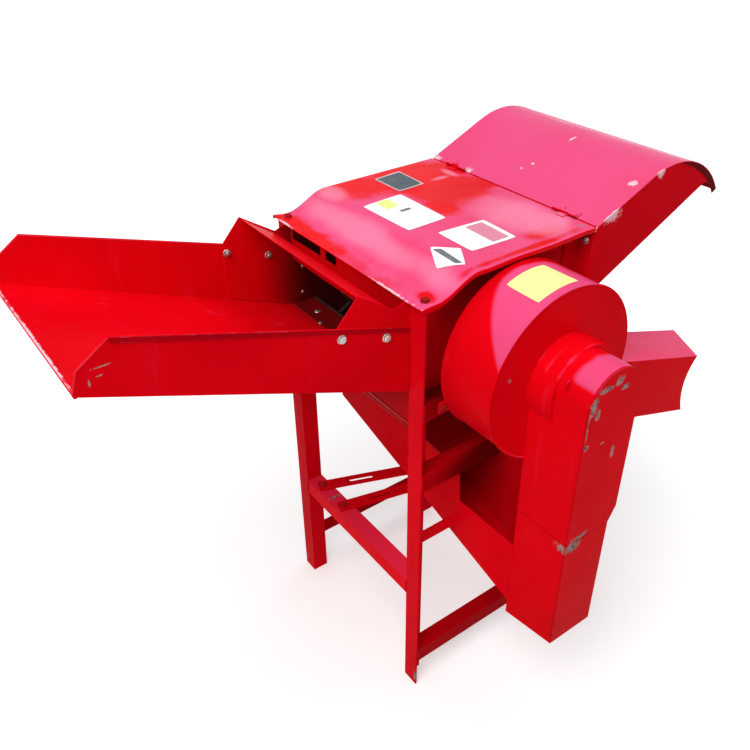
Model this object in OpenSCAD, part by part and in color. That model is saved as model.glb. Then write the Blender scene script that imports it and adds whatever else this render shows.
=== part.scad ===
/* [Frame] */
// Width of one leg of the angle iron
angleLeg = 40; // [35:1:48]
// Thickness of the angle iron
angleThick = 4; // [3:0.5:5]
// Frame length, left legs to right legs, outside
frameL = 410; // [380:5:500]
// Frame depth, front legs to back legs, outside
frameW = 480; // [400:5:600]
// Height of the top of the bottom rails
bottomRailZ = 121; // [80:5:150]
// Height of the top of the two side rails
sideRailZ = 322; // [260:5:360]
// Height of the top of the middle rails
midRailZ = 640; // [605:5:660]
// Height of the top of the rails that carry the bearings
bearingRailZ = 812; // [790:2:818]

/* [Motor bars] */
// Width of a slotted bar
barW = 30; // [24:1:34]
// Thickness of a slotted bar
barT = 6; // [4:0.5:8]
// Distance of the back bar's left end from the back of the frame
backBarIn = 82; // [60:2:110]
// Distance between the two bars at their left ends
barsApart = 90; // [75:1:110]
// How much nearer the front the back bar's right end lies
backBarShift = 142; // [100:1:150]
// How much nearer the front the front bar's right end lies
frontBarShift = 92; // [60:1:110]
// Slot length, end to end
slotL = 62; // [40:1:80]
// Slot width
slotW = 11; // [9:0.5:14]

/* [Rotor] */
// Distance of the shaft from the left side of the frame
shaftX = 211; // [200:1:215]
// Height of the shaft
shaftZ = 864; // [860:1:870]
// Shaft radius
shaftR = 15; // [12:0.5:18]
// Radius over the drum teeth
drumR = 146; // [130:1:148]
// Radius of the drum discs
discR = 100; // [85:1:108]
// Number of tooth bars on the drum
toothBars = 6; // [4:1:8]
// Teeth on one bar
teethPerBar = 7; // [4:1:9]
// Tooth radius
toothR = 5; // [4:0.5:7]
// Pulley radius
pulleyR = 80; // [60:1:95]
// Pulley width
pulleyW = 38; // [30:1:45]
// Clear distance between the back legs and the pulley
pulleyGap = 14; // [8:1:20]
// Free end of the shaft outside the pulley
shaftEnd = 22; // [15:1:40]
// How much thinner the free end is turned, on the radius
endStep = 1; // [0.5:0.5:3]

/* [Drum box] */
// Sheet metal thickness
sheet = 2; // [1.5:0.25:3]
// Inner radius of the grate under the drum
grateR = 158; // [152:1:160]
// Radius of one grate rod
rodR = 5; // [4:0.5:6]
// Number of grate rods
rods = 15; // [9:1:17]
// Height of the lip of the cover
lipZ = 1014; // [1010:1:1020]
// Height of the flat top of the cover
coverTopZ = 1047; // [1044:1:1056]
// How far the cover stands out past the left legs
lipOut = 10; // [4:1:20]
// How far the cover stands out past the front and back legs
coverOut = 3; // [3:0.5:6]
// Depth of the folded edge of the cover
coverFold = 8; // [4:0.5:9]

/* [Throat and tray] */
// Height of the tray floor where it meets the frame
trayZ = 825; // [815:1:835]
// Length of the tray along the ground
trayRun = 563; // [450:5:600]
// Slope of the tray floor in degrees
trayTilt = 22.2; // [15:0.2:25]
// Wall height of the tray at the frame
trayWallIn = 135; // [110:1:145]
// Wall height of the tray near the outer end
trayWallOut = 97; // [70:1:110]
// Length of the sloping corner of the tray wall
trayCorner = 62; // [40:1:80]
// How far the throat cheeks reach out of the frame
throatOut = 149; // [130:1:160]
// Height of the peak of the throat cheeks
throatPeakZ = 1053; // [1040:1:1060]

/* [Hood] */
// Slope of the hood where it starts
hoodTilt = 23.6; // [18:0.2:28]
// Length of the straight part of the hood
hoodStraight = 153; // [120:2:200]
// Radius of the bent end of the hood
hoodR = 180; // [140:5:200]
// Angle of the bent end below the level
hoodDrop = 59; // [40:2:70]
// Height of the lower corner of the hood cheek at the legs
cheekZ = 903; // [880:1:920]

/* [Fan] */
// Radius of the fan casing
fanR = 170; // [160:1:172]
// Depth of the fan casing
fanDepth = 128; // [100:1:140]
// Radius of the fan wheel
wheelR = 152; // [120:1:155]
// Number of fan blades
blades = 6; // [4:1:8]
// Radius of the eye where the fan draws its air
eyeR = 60; // [45:1:62]
// Slope of the outlet below the level
outletTilt = 18.5; // [12:0.5:22]
// Height of the outlet
outletH = 133; // [110:1:140]
// Top of the outlet above the shaft, across the outlet
outletTop = 15; // [4:1:20]
// Reach of the outlet from the shaft along its slope, on its back side
outletReach = 562; // [520:2:600]
// Reach of the outlet on its front side
outletNose = 444; // [400:2:460]
// Depth of the hollow in the end of the outlet
outletHollow = 39; // [10:1:45]
// Slant of the end of the outlet seen from above
outletSkew = 39.5; // [30:0.5:45]

/* [Suction duct and chute] */
// Left side of the duct and the chute
ductX = 137; // [130:1:142]
// Width of the upper duct
ductW = 128; // [118:1:134]
// Depth of the duct
ductDepth = 126; // [100:1:140]
// Height of the middle of the round top
ductTopZ = 883; // [870:1:895]
// Height of the seam between upper and lower duct
seamZ = 583; // [560:1:600]
// Width of the lower duct and the chute
chuteW = 112; // [100:1:116]
// Height of the bottom edge of the lower duct in front
spoutZ = 309; // [295:1:318]
// Height of the bottom edge of the lower duct at the back
spoutBackZ = 286; // [275:1:300]
// Height of the chute floor at the duct
chuteZ = 322; // [318:1:330]
// Height of the chute floor at the back
chuteBackZ = 505; // [470:1:515]
// Top of the chute sides outside the frame
chuteRim = 482; // [470:1:495]
// Top of the high side of the chute
shieldZ = 590; // [565:1:596]
// Lower edge of the hopper sheets
hopperZ = 562; // [548:1:575]
// Upper edge of the hopper sheets
hopperTopZ = 745; // [720:1:760]

/* [Small parts] */
// Bolt shank radius
boltR = 4; // [3:0.5:5]
// Bolt head radius across the corners
headR = 7.5; // [6:0.5:9]
// Bolt head height
headH = 5.5; // [4:0.5:7]
// Clearance round a bolt in its hole
boltClear = 0.5; // [0.3:0.1:1]
// Hinge knuckle radius
knuckleR = 4; // [3.5:0.25:4.5]
// Hinge pin radius
pinR = 2; // [1.5:0.1:2.5]
// Running clearance of shafts and pins
runClear = 0.05; // [0.02:0.01:0.09]
// Small gap between pieces that only lie against each other
restGap = 0.3; // [0.2:0.05:0.5]

/* [Hidden] */
$fn = 64;
innerF = angleLeg;
innerB = frameW - angleLeg;
railDeep = angleLeg - angleThick;
wallR = frameL - angleThick;
floorRise = tan(trayTilt);
trayTipX = -3 - trayRun;
trayTipZ = trayZ + trayRun * floorRise;
hoodStartX = frameL + 2;
hoodBendX = hoodStartX + hoodStraight * cos(hoodTilt);
hoodBendZ = coverTopZ + hoodStraight * sin(hoodTilt);
hoodMidX = hoodBendX + hoodR * sin(hoodTilt);
hoodMidZ = hoodBendZ - hoodR * cos(hoodTilt);
hoodTipX = hoodMidX + hoodR * sin(hoodDrop);
hoodTipZ = hoodMidZ + hoodR * cos(hoodDrop);
ductFrontY = -fanDepth - ductDepth;
shaftBackY = frameW + pulleyGap + pulleyW + shaftEnd;
midX = (trayTipX + hoodTipX) / 2;
midY = (ductFrontY + shaftBackY) / 2;
lipEnd = 22;
riseEnd = 118;
coverEndX = frameL - 4;
hingeX = frameL - 1;
hingeZ = coverTopZ + knuckleR + 0.5;
leafDrop = (hoodStartX - hingeX) * sin(hoodTilt) + (hingeZ - coverTopZ) * cos(hoodTilt) - 0.1;
leftTop = lipZ - sheet - restGap;
rightTop = coverTopZ - sheet - restGap;
ductMidX = ductX + ductW / 2;
ductBackY = -fanDepth;
collarR = 85;
collarDeep = 54;
bossZ = bearingRailZ + restGap;
fitR = shaftR + 0.03;
tabZ = leftTop - 12;
screwX = angleThick + 10;
hopperR = frameL - angleThick - sheet;
grateFrom = 195;
grateTo = 340;

function floorZ(x) = trayZ + (-3 - x) * floorRise;
function rise(x) = (1 - cos(180 * (x - lipEnd) / (riseEnd - lipEnd))) / 2;
function coverZ(x) = x < lipEnd ? lipZ : x > riseEnd ? coverTopZ
    : lipZ + (coverTopZ - lipZ) * rise(x);
function coverLine(x0, drop) = [for (i = [0 : 12]) let (x = lipEnd + i * (riseEnd - lipEnd) / 12)
    [x, coverZ(x) - drop]];
function chuteFloorZ(y) = chuteZ + (y - ductBackY) * (chuteBackZ - chuteZ) / (frameW - 2 - ductBackY);

module place() {
    translate([-midX, -midY, 0]) children();
}

// A flat outline in X and Z, given depth along Y
module slab(y0, y1) {
    translate([0, y1, 0]) rotate([90, 0, 0]) linear_extrude(y1 - y0) children();
}

// A flat outline in Y and Z, given depth along X
module side(x0, x1) {
    translate([x0, 0, 0]) rotate([90, 0, 90]) linear_extrude(x1 - x0) children();
}

module box(a, b) {
    translate(a) cube([b[0] - a[0], b[1] - a[1], b[2] - a[2]]);
}

module rodY(x, z, r, y0, y1, n = 48) {
    translate([x, y0, z]) rotate([-90, 0, 0]) cylinder(r = r, h = y1 - y0, $fn = n);
}

module rodX(y, z, r, x0, x1, n = 32) {
    translate([x0, y, z]) rotate([0, 90, 0]) cylinder(r = r, h = x1 - x0, $fn = n);
}

module rodZ(x, y, r, z0, z1, n = 32) {
    translate([x, y, z0]) cylinder(r = r, h = z1 - z0, $fn = n);
}

// Bolt along Y: head at y0 pointing out by dir, shank to y1, nut outside y1
module boltY(x, z, y0, y1) {
    dir = y1 > y0 ? 1 : -1;
    translate([x, y0, z]) rotate([-90 * dir, 0, 0]) {
        translate([0, 0, -headH]) cylinder(r = headR, h = headH, $fn = 6);
        cylinder(r = boltR, h = abs(y1 - y0) + headH + 2, $fn = 24);
        translate([0, 0, abs(y1 - y0)]) cylinder(r = headR, h = headH, $fn = 6);
    }
}

module boltZ(x, y, z0, z1) {
    translate([x, y, z0]) {
        translate([0, 0, -headH]) cylinder(r = headR, h = headH, $fn = 6);
        translate([0, 0, -headH - 2]) cylinder(r = boltR, h = z1 - z0 + headH + 2.1, $fn = 24);
        translate([0, 0, z1 - z0]) cylinder(r = headR, h = headH, $fn = 6);
    }
}

module boltX(y, z, x0, x1) {
    translate([x0, y, z]) rotate([0, 90, 0]) {
        translate([0, 0, -headH]) cylinder(r = headR, h = headH, $fn = 6);
        translate([0, 0, -headH - 2]) cylinder(r = boltR, h = x1 - x0 + headH + 2.1, $fn = 24);
        translate([0, 0, x1 - x0]) cylinder(r = headR, h = headH, $fn = 6);
    }
}

module leg(fromLeft, fromFront, top) {
    x0 = fromLeft ? 0 : frameL - angleThick;
    x1 = fromLeft ? 0 : frameL - angleLeg;
    y0 = fromFront ? 0 : innerB;
    y1 = fromFront ? innerF - angleThick : innerB;
    difference() {
        union() {
            box([x0, y0, 0], [x0 + angleThick, y0 + angleLeg, top]);
            box([x1, y1, 0], [x1 + angleLeg, y1 + angleThick, top]);
        }
        if (!fromLeft) for (z = hoodBoltZ)
            rodX(fromFront ? 18 : frameW - 18, z, boltR + boltClear, frameL - 10, frameL + 5);
    }
}
hoodBoltZ = [cheekZ + 24, rightTop - 30];

// Front rail and its mirror at the back, flange inward on top
module railPair(top, tall) {
    difference() {
        union() {
            box([angleThick, 0, top - tall], [wallR, angleThick, top]);
            box([angleThick, 0, top - angleThick], [wallR, railDeep, top]);
            box([angleThick, frameW - angleThick, top - tall], [wallR, frameW, top]);
            box([angleThick, frameW - railDeep, top - angleThick], [wallR, frameW, top]);
        }
        children();
    }
}

module front_legs() {
    color("red") place() { leg(true, true, leftTop); leg(false, true, rightTop); }
}

module back_legs() {
    color("red") place() { leg(true, false, leftTop); leg(false, false, rightTop); }
}

module side_rails() {
    color("firebrick") place() difference() {
        for (x = [0, frameL - angleThick]) {
            flat = x == 0 ? 0 : frameL - angleLeg;
            box([x, innerF, sideRailZ - angleLeg], [x + angleThick, innerB, sideRailZ]);
            box([flat, innerF, sideRailZ - angleThick], [flat + angleLeg, innerB, sideRailZ]);
        }
        for (b = barEnds) rodZ(b[0], b[1], boltR + boltClear, sideRailZ - 9, sideRailZ + 9);
    }
}

module bottom_rails() {
    color("firebrick") place() railPair(bottomRailZ, angleLeg);
}

module mid_rails() {
    color("firebrick") place() railPair(midRailZ, angleLeg);
}

module bearing_rails() {
    color("firebrick") place() railPair(bearingRailZ, angleLeg) {
        for (x = [shaftX - 50, shaftX + 50]) for (y = [bearingY, frameW - bearingY])
            rodZ(x, y, boltR + boltClear, bearingRailZ - 9, bearingRailZ + 5);
        for (x = fanBoltX) rodY(x, bearingRailZ - 22, boltR + boltClear, -1, 9, 32);
    }
}
bearingY = 19;
lugX = 46;
fanBoltX = [lugX, shaftX - 100, shaftX + 88];

backBarRun = frameL - 40;
backBarY = frameW - backBarIn;
frontBarY = backBarY - barsApart;
backBarTurn = atan(backBarShift / backBarRun);
frontBarTurn = atan(frontBarShift / backBarRun);
barEnds = [[20, backBarY], [20 + backBarRun, backBarY - backBarShift],
    [20, frontBarY], [20 + backBarRun, frontBarY - frontBarShift]];

module bar(y, turn) {
    long = backBarRun / cos(turn);
    translate([20, y, sideRailZ]) rotate([0, 0, -turn]) difference() {
        translate([-13, -barW / 2, 0]) cube([long + 26, barW, barT]);
        for (x = [0, long]) translate([x, 0, -1]) cylinder(r = boltR + boltClear, h = barT + 2, $fn = 32);
        for (m = [0.24, 0.74]) translate([long * m, 0, -1]) {
            for (s = [-1, 1]) translate([s * (slotL - slotW) / 2, 0, 0])
                cylinder(r = slotW / 2, h = barT + 2, $fn = 32);
            translate([-(slotL - slotW) / 2, -slotW / 2, 0]) cube([slotL - slotW, slotW, barT + 2]);
        }
    }
}

module motor_bars() {
    color("red") place() { bar(backBarY, backBarTurn); bar(frontBarY, frontBarTurn); }
}

module bar_bolts() {
    color("silver") place() for (b = barEnds)
        boltZ(b[0], b[1], sideRailZ - angleThick, sideRailZ + barT);
}

// Flat bars from the front legs to the chute sides
module chute_stays() {
    color("firebrick") place() {
        box([angleLeg, innerF - 5, chuteRim - 66], [ductX, innerF, chuteRim - 36]);
        box([ductX + chuteW, innerF - 5, chuteRim - 66], [frameL - angleLeg, innerF, chuteRim - 36]);
    }
}

module endWallOutline() {
    under = sheet + restGap;
    polygon(concat([[ductX, hopperZ], [ductX + chuteW, hopperZ], [hopperR + sheet, hopperTopZ],
        [hopperR + sheet, rightTop]],
        [for (i = [12 : -1 : 0]) coverLine(0, under)[i]],
        [[-lipOut, leftTop], [-32, leftTop - 8], [-107, throatPeakZ], [-throatOut, throatPeakZ - 46],
        [-throatOut, floorZ(-throatOut) + sheet + 1], [-3, floorZ(-3) + sheet + 1],
        [angleThick, floorZ(-3) + sheet + 1], [angleThick, hopperTopZ]]));
}

module end_walls() {
    color("red") place() difference() {
        union() {
            slab(innerF, innerF + sheet) endWallOutline();
            slab(innerB - sheet, innerB) endWallOutline();
        }
        rodY(shaftX, shaftZ, shaftR + 12, innerF - 5, innerB + 5);
        for (x = trayBoltX) rodY(x, trayBoltZ(x), boltR + boltClear, innerF - 5, innerB + 5, 32);
    }
}
trayBoltX = [-142, -52];
function trayTop(x) = trayZ + trayWallIn + (-3 - x) * wallRise;
wallRise = (trayTipZ + trayWallOut - 25.6 - trayZ - trayWallIn) / (trayRun - trayCorner);
function trayBoltZ(x) = trayTop(x) - 19;

module left_wall() {
    color("red") place()
        box([angleThick, innerF + sheet, hopperTopZ + 3], [angleThick + sheet, innerB - sheet, trayZ]);
}

module right_wall() {
    color("red") place()
        box([hopperR, innerF + sheet, hopperTopZ + 3], [hopperR + sheet, innerB - sheet, shaftZ - 44]);
}

// Level plate from the tray to the first grate rod
module feed_ledge() {
    color("red") place() box([-2, innerF + sheet, trayZ + restGap],
        [shaftX - (grateR + rodR) * cos(15) - rodR - 1, innerB - sheet, trayZ + restGap + sheet]);
}

// Plate that carries the straw from the grate over the right wall
module straw_ledge() {
    x0 = shaftX + (grateR + rodR) * cos(20) + rodR + 1;
    z0 = shaftZ - (grateR + rodR) * sin(20);
    color("red") place() slab(innerF + sheet, innerB - sheet)
        polygon([[x0, z0], [frameL + 8, shaftZ - 38], [frameL + 8, shaftZ - 38 + sheet], [x0, z0 + sheet]]);
}

module sheetLine(a, b) {
    d = [b[0] - a[0], b[1] - a[1]];
    n = sheet / norm(d);
    polygon([a, b, [b[0] - d[1] * n, b[1] + d[0] * n], [a[0] - d[1] * n, a[1] + d[0] * n]]);
}

module hopper_sheets() {
    color("red") place() slab(innerF + sheet, innerB - sheet) {
        sheetLine([ductX + 1, hopperZ + 1], [angleThick + sheet, hopperTopZ]);
        sheetLine([hopperR - 1, hopperTopZ], [ductX + chuteW - 1, hopperZ + 1]);
    }
}

module chute_floor() {
    color("red") place() side(ductX + sheet, ductX + chuteW - sheet)
        polygon([[ductBackY + restGap, chuteZ], [frameW - 2, chuteBackZ],
            [frameW - 2, chuteBackZ + sheet], [ductBackY + restGap, chuteZ + sheet]]);
}

module chute_sides() {
    low = [[ductBackY + restGap, chuteZ], [frameW - 2, chuteBackZ], [frameW - 2, hopperZ - 1],
        [innerF, hopperZ - 1]];
    color("red") place() {
        side(ductX, ductX + sheet)
            polygon(concat(low, [[innerF - 6, chuteRim], [ductBackY + restGap, chuteRim]]));
        side(ductX + chuteW - sheet, ductX + chuteW)
            polygon(concat(low, [[innerF - 3, shieldZ], [ductBackY + 60, shieldZ],
                [ductBackY + restGap, chuteRim + 30]]));
    }
}

module chute_back() {
    color("red") place() box([ductX + sheet, innerB + 2, chuteFloorZ(innerB + 2) + sheet + 1],
        [ductX + chuteW - sheet, innerB + 2 + sheet, hopperZ - 1]);
}

module grate_rods() {
    color("dimgray") place() for (i = [0 : rods - 1])
        let (a = grateFrom + (grateTo - grateFrom) * i / (rods - 1))
            rodY(shaftX + (grateR + rodR) * cos(a), shaftZ + (grateR + rodR) * sin(a), rodR,
                innerF + sheet, innerB - sheet, 24);
}

module block(y) {
    difference() {
        union() {
            box([shaftX - 66, y - 15, bossZ], [shaftX + 66, y + 15, bossZ + 14]);
            rodY(shaftX, shaftZ, shaftR + 18, y - 14, y + 14, 64);
            box([shaftX - 30, y - 14, bossZ + 10], [shaftX + 30, y + 14, shaftZ - 6]);
        }
        rodY(shaftX, shaftZ, shaftR + runClear, y - 30, y + 30, 64);
        for (s = [-50, 50]) rodZ(shaftX + s, y, boltR + boltClear, bossZ - 5, bossZ + 20);
    }
}

module bearing_blocks() {
    color("gray") place() { block(bearingY); block(frameW - bearingY); }
}

module bearing_bolts() {
    color("silver") place() for (x = [shaftX - 50, shaftX + 50])
        for (y = [bearingY, frameW - bearingY])
            boltZ(x, y, bearingRailZ - angleThick, bossZ + 14);
}

module tray_floor() {
    color("red") place() slab(innerF, innerB)
        polygon([[trayTipX, trayTipZ], [-3, trayZ], [-3, trayZ + sheet], [trayTipX, trayTipZ + sheet]]);
}

module tray_walls() {
    color("red") place() difference() {
        for (y = [innerF - sheet, innerB]) slab(y, y + sheet)
            polygon([[trayTipX, trayTipZ], [-3, trayZ], [-3, trayZ + trayWallIn],
                [trayTipX + trayCorner, trayTop(trayTipX + trayCorner)],
                [trayTipX + 10, trayTipZ + 36], [trayTipX, trayTipZ + 4]]);
        for (x = trayBoltX) rodY(x, trayBoltZ(x), boltR + boltClear, -9, frameW + 9, 32);
    }
}

module tray_bolts() {
    color("silver") place() for (x = trayBoltX) {
        boltY(x, trayBoltZ(x), innerF - sheet, innerF + sheet);
        boltY(x, trayBoltZ(x), innerB + sheet, innerB - sheet);
    }
}

module throat_roof() {
    color("red") place() slab(innerF + sheet, innerB - sheet)
        sheetLine([-34, leftTop - 8 - sheet * 1.4], [-105, throatPeakZ - sheet * 1.4]);
}

function hoodLine(t) = concat([[hoodStartX + t * sin(hoodTilt), coverTopZ - t * cos(hoodTilt)]],
    [for (i = [0 : hoodSteps]) let (a = -hoodTilt + (hoodTilt + hoodDrop) * i / hoodSteps)
        [hoodMidX + (hoodR - t) * sin(a), hoodMidZ + (hoodR - t) * cos(a)]]);
function turned(v) = [for (i = [len(v) - 1 : -1 : 0]) v[i]];
hoodSteps = 24;

module hood_top() {
    color("red") place() slab(-2, frameW + 2) polygon(concat(hoodLine(0), turned(hoodLine(sheet))));
}

module cheekOutline() {
    drop = sheet + restGap;
    d = hoodR - drop;
    polygon(concat([[frameL, cheekZ], [hoodTipX - 52, hoodTipZ + 22]],
        [for (i = [0 : 14]) let (a = hoodDrop - 12 - i * (hoodDrop + hoodTilt - 12) / 14)
            [hoodMidX + d * sin(a), hoodMidZ + d * cos(a)]],
        [[hoodStartX + drop * sin(hoodTilt), coverTopZ - drop * cos(hoodTilt)],
        [frameL, coverTopZ - drop * cos(hoodTilt) - 1]]));
}

module hood_cheeks() {
    color("red") place() difference() {
        union() {
            slab(-2, 0) cheekOutline();
            slab(frameW, frameW + 2) cheekOutline();
            box([frameL, -1, cheekZ + 6], [frameL + sheet, 36, rightTop - 10]);
            box([frameL, frameW - 36, cheekZ + 6], [frameL + sheet, frameW + 1, rightTop - 10]);
        }
        for (y = [18, frameW - 18]) for (z = hoodBoltZ)
            rodX(y, z, boltR + boltClear, frameL - 5, frameL + 8);
    }
}

module hood_bolts() {
    color("silver") place() for (y = [18, frameW - 18]) for (z = hoodBoltZ)
        boltX(y, z, frameL - angleThick, frameL + sheet);
}

hingeY = [80, frameW - 80];

// The outer two knuckles of each hinge, with the leaf that lies on the hood
module hood_hinge_leaves() {
    color("darkred") place() for (y = hingeY) difference() {
        union() for (s = [-1, 1]) {
            rodY(hingeX, hingeZ, knuckleR, y + s * 20 - 9.8, y + s * 20 + 9.8);
            translate([hingeX, y + s * 20 - 9.8, hingeZ]) rotate([0, -hoodTilt, 0])
                translate([-1.5, 0, -leafDrop]) cube([16, 19.6, 2.2]);
        }
        rodY(hingeX, hingeZ, pinR, y - 40, y + 40);
    }
}

module hinge_pins() {
    color("silver") place() for (y = hingeY) rodY(hingeX, hingeZ, pinR, y - 31, y + 31);
}

module cover_hinge_leaves() {
    color("darkred") place() for (y = hingeY) difference() {
        union() {
            rodY(hingeX, hingeZ, knuckleR, y - 9.8, y + 9.8);
            box([hingeX - 16, y - 9.8, coverTopZ], [hingeX + 1, y + 9.8, coverTopZ + 2]);
        }
        rodY(hingeX, hingeZ, pinR + runClear, y - 40, y + 40);
    }
}

// Lugs inside the left legs that take the cover screws
module lock_tabs() {
    color("firebrick") place() for (y = [angleThick, innerB + angleThick]) {
        mid = y < 100 ? y + 14 : y + 18;
        difference() {
            box([angleThick, y < 100 ? y - 4 : y, tabZ], [angleThick + 30, y + 32, tabZ + 4]);
            rodZ(screwX, mid, boltR + 4, tabZ - 5, tabZ + 9);
        }
    }
}

module coverOutline(t0, t1) {
    polygon(concat([[-lipOut, lipZ - t0]], coverLine(0, t0), [[coverEndX, coverTopZ - t0]],
        [[coverEndX, coverTopZ - t1]], [for (i = [12 : -1 : 0]) coverLine(0, t1)[i]],
        [[-lipOut, lipZ - t1]]));
}

module cover() {
    color("crimson") place() difference() {
        union() {
            slab(-coverOut, frameW + coverOut) coverOutline(0, sheet);
            slab(-coverOut, -coverOut + sheet) coverOutline(0, coverFold);
            slab(frameW + coverOut - sheet, frameW + coverOut) coverOutline(0, coverFold);
        }
        for (y = screwY) rodZ(screwX, y, boltR + restGap, lipZ - 9, lipZ + 9);
    }
}
screwY = [angleThick + 14, innerB + angleThick + 18];

module cover_screws() {
    color("silver") place() for (y = screwY) {
        rodZ(screwX, y, boltR, tabZ - 8, lipZ + 1, 24);
        translate([screwX, y, lipZ]) cylinder(r = headR, h = headH, $fn = 6);
    }
}

module outletBox(grow, from, to) {
    translate([shaftX, 0, shaftZ]) rotate([0, outletTilt, 0])
        box([from, -fanDepth + grow, outletTop - outletH + grow], [to, -grow, outletTop - grow]);
}

module fan_wrap() {
    color("red") place() difference() {
        rodY(shaftX, shaftZ, fanR, -fanDepth + sheet, -sheet, 128);
        rodY(shaftX, shaftZ, fanR - sheet, -fanDepth, 0, 128);
        outletBox(0, 60, 300);
    }
}

module fan_front_plate() {
    color("red") place() difference() {
        rodY(shaftX, shaftZ, fanR, -fanDepth, -fanDepth + sheet, 128);
        rodY(shaftX, shaftZ, eyeR, -fanDepth - 1, -fanDepth + 9, 64);
        outletCut();
    }
}

module fan_back_plate() {
    color("red") place() difference() {
        union() {
            rodY(shaftX, shaftZ, fanR, -sheet, 0, 128);
            box([lugX - 10, -sheet, bearingRailZ - 34], [lugX + 30, 0, bearingRailZ - 8]);
        }
        rodY(shaftX, shaftZ, shaftR + 5, -9, 9, 64);
        for (x = fanBoltX) rodY(x, bearingRailZ - 22, boltR + boltClear, -9, 9, 32);
        outletCut();
    }
}

// Where the outlet takes over from the round casing
module outletCut() {
    translate([shaftX, 0, shaftZ]) rotate([0, outletTilt, 0])
        box([wrapMeet, -fanDepth - 1, outletTop - outletH - 1], [wrapMeet + 90, 1, outletTop + 1]);
}
wrapMeet = sqrt(pow(fanR, 2) - pow(outletH - outletTop, 2)) - 4;

module fan_bolts() {
    color("silver") place() for (x = fanBoltX) boltY(x, bearingRailZ - 22, -sheet, angleThick);
}

// Square pipe, cut back at its end along a slanting hollow line
module fan_outlet() {
    low = outletTop - outletH;
    near = wrapMeet - 9;
    far = outletReach + 9;
    color("red") place() difference() {
        outletBox(0, wrapMeet + restGap, outletReach);
        translate([shaftX, 0, shaftZ]) rotate([0, outletTilt, 0]) {
            slab(-fanDepth + sheet, -sheet) polygon([[near, low - 9], [meetAt(low + sheet), low - 9],
                [meetAt(low + sheet), low + sheet], [far, low + sheet], [far, outletTop - sheet],
                [meetAt(outletTop - sheet), outletTop - sheet], [meetAt(outletTop - sheet), outletTop + 9],
                [near, outletTop + 9]]);
            translate([outletNose, -fanDepth, 0]) rotate([0, 0, -outletSkew]) slab(-300, 500)
                polygon(concat(endLine(low - 9, outletTop + 9), [[300, outletTop + 9], [300, low - 9]]));
        }
    }
}
hollowMid = -28;
function meetAt(v) = sqrt(pow(fanR + restGap, 2) - pow(v, 2));
function endLine(a, b) = [for (i = [0 : 14]) let (v = a + (b - a) * i / 14)
    [cos(outletSkew) * outletHollow * pow((v - hollowMid) / (outletTop - outletH - hollowMid), 2), v]];

module ductOutline(inset) {
    a = ductX + inset;
    b = ductX + ductW - inset;
    c = ductX + chuteW - inset;
    translate([ductMidX, ductTopZ]) circle(r = ductW / 2 - inset, $fn = 96);
    polygon([[a, ductTopZ], [a, seamZ - inset], [c, seamZ - inset], [b, seamZ + 32], [b, ductTopZ]]);
}

module upper_duct() {
    color("red") place() difference() {
        union() {
            slab(ductFrontY, ductBackY) ductOutline(0);
            rodY(shaftX, shaftZ, collarR, ductBackY - collarDeep, ductBackY, 96);
        }
        slab(ductFrontY + sheet, ductBackY - sheet) ductOutline(sheet);
        rodY(shaftX, shaftZ, collarR - sheet, ductBackY - collarDeep + sheet, ductBackY - sheet, 96);
        rodY(shaftX, shaftZ, eyeR, ductBackY - 9, ductBackY + 9, 64);
        box([ductX + sheet, ductFrontY + sheet, seamZ - 5],
            [ductX + chuteW - sheet, ductBackY - sheet, seamZ + 5]);
    }
}

module lower_duct() {
    color("red") place() difference() {
        side(ductX, ductX + chuteW) polygon([[ductFrontY, spoutZ], [ductBackY, spoutBackZ],
            [ductBackY, seamZ], [ductFrontY, seamZ]]);
        box([ductX + sheet, ductFrontY + sheet, spoutBackZ - 5],
            [ductX + chuteW - sheet, ductBackY - sheet, seamZ + 5]);
        box([ductX + sheet, ductBackY - 9, spoutBackZ - 5],
            [ductX + chuteW - sheet, ductBackY + 9, chuteRim]);
    }
}

module shaft() {
    color("silver") place() {
        rodY(shaftX, shaftZ, shaftR, -fanDepth + 14, shaftBackY - shaftEnd + 1, 64);
        rodY(shaftX, shaftZ, shaftR - endStep, shaftBackY - shaftEnd, shaftBackY, 64);
    }
}

module drum_discs() {
    color("gray") place() for (y = [innerF + sheet + 12, frameW / 2 - 3, innerB - sheet - 18])
        difference() {
            union() {
                rodY(shaftX, shaftZ, discR, y, y + 6, 96);
                rodY(shaftX, shaftZ, shaftR + 12, y - 4, y + 10, 64);
            }
            rodY(shaftX, shaftZ, fitR, y - 9, y + 19, 64);
        }
}

module drum_bars() {
    y0 = innerF + sheet + 8;
    y1 = innerB - sheet - 8;
    color("dimgray") place() for (i = [0 : toothBars - 1])
        translate([shaftX, 0, shaftZ]) rotate([0, i * 360 / toothBars, 0]) {
            box([-16, y0, discR + 0.2], [16, y1, discR + 8.2]);
            for (k = [0 : teethPerBar - 1])
                rodZ(0, y0 + 20 + (y1 - y0 - 52) * k / (teethPerBar - 1) + (i % 2) * 14, toothR,
                    discR + 4, drumR, 24);
        }
}

module fan_wheel() {
    y0 = -fanDepth + 18;
    color("gray") place() difference() {
        union() {
            rodY(shaftX, shaftZ, wheelR - 40, -22, -18, 96);
            rodY(shaftX, shaftZ, shaftR + 12, -fanDepth + 40, -14, 64);
            for (i = [0 : blades - 1]) translate([shaftX, 0, shaftZ]) rotate([0, 11 + i * 360 / blades, 0])
                box([-1.5, y0, shaftR + 8], [1.5, -20, wheelR]);
        }
        rodY(shaftX, shaftZ, fitR, y0 - 20, 0, 64);
    }
}

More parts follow.
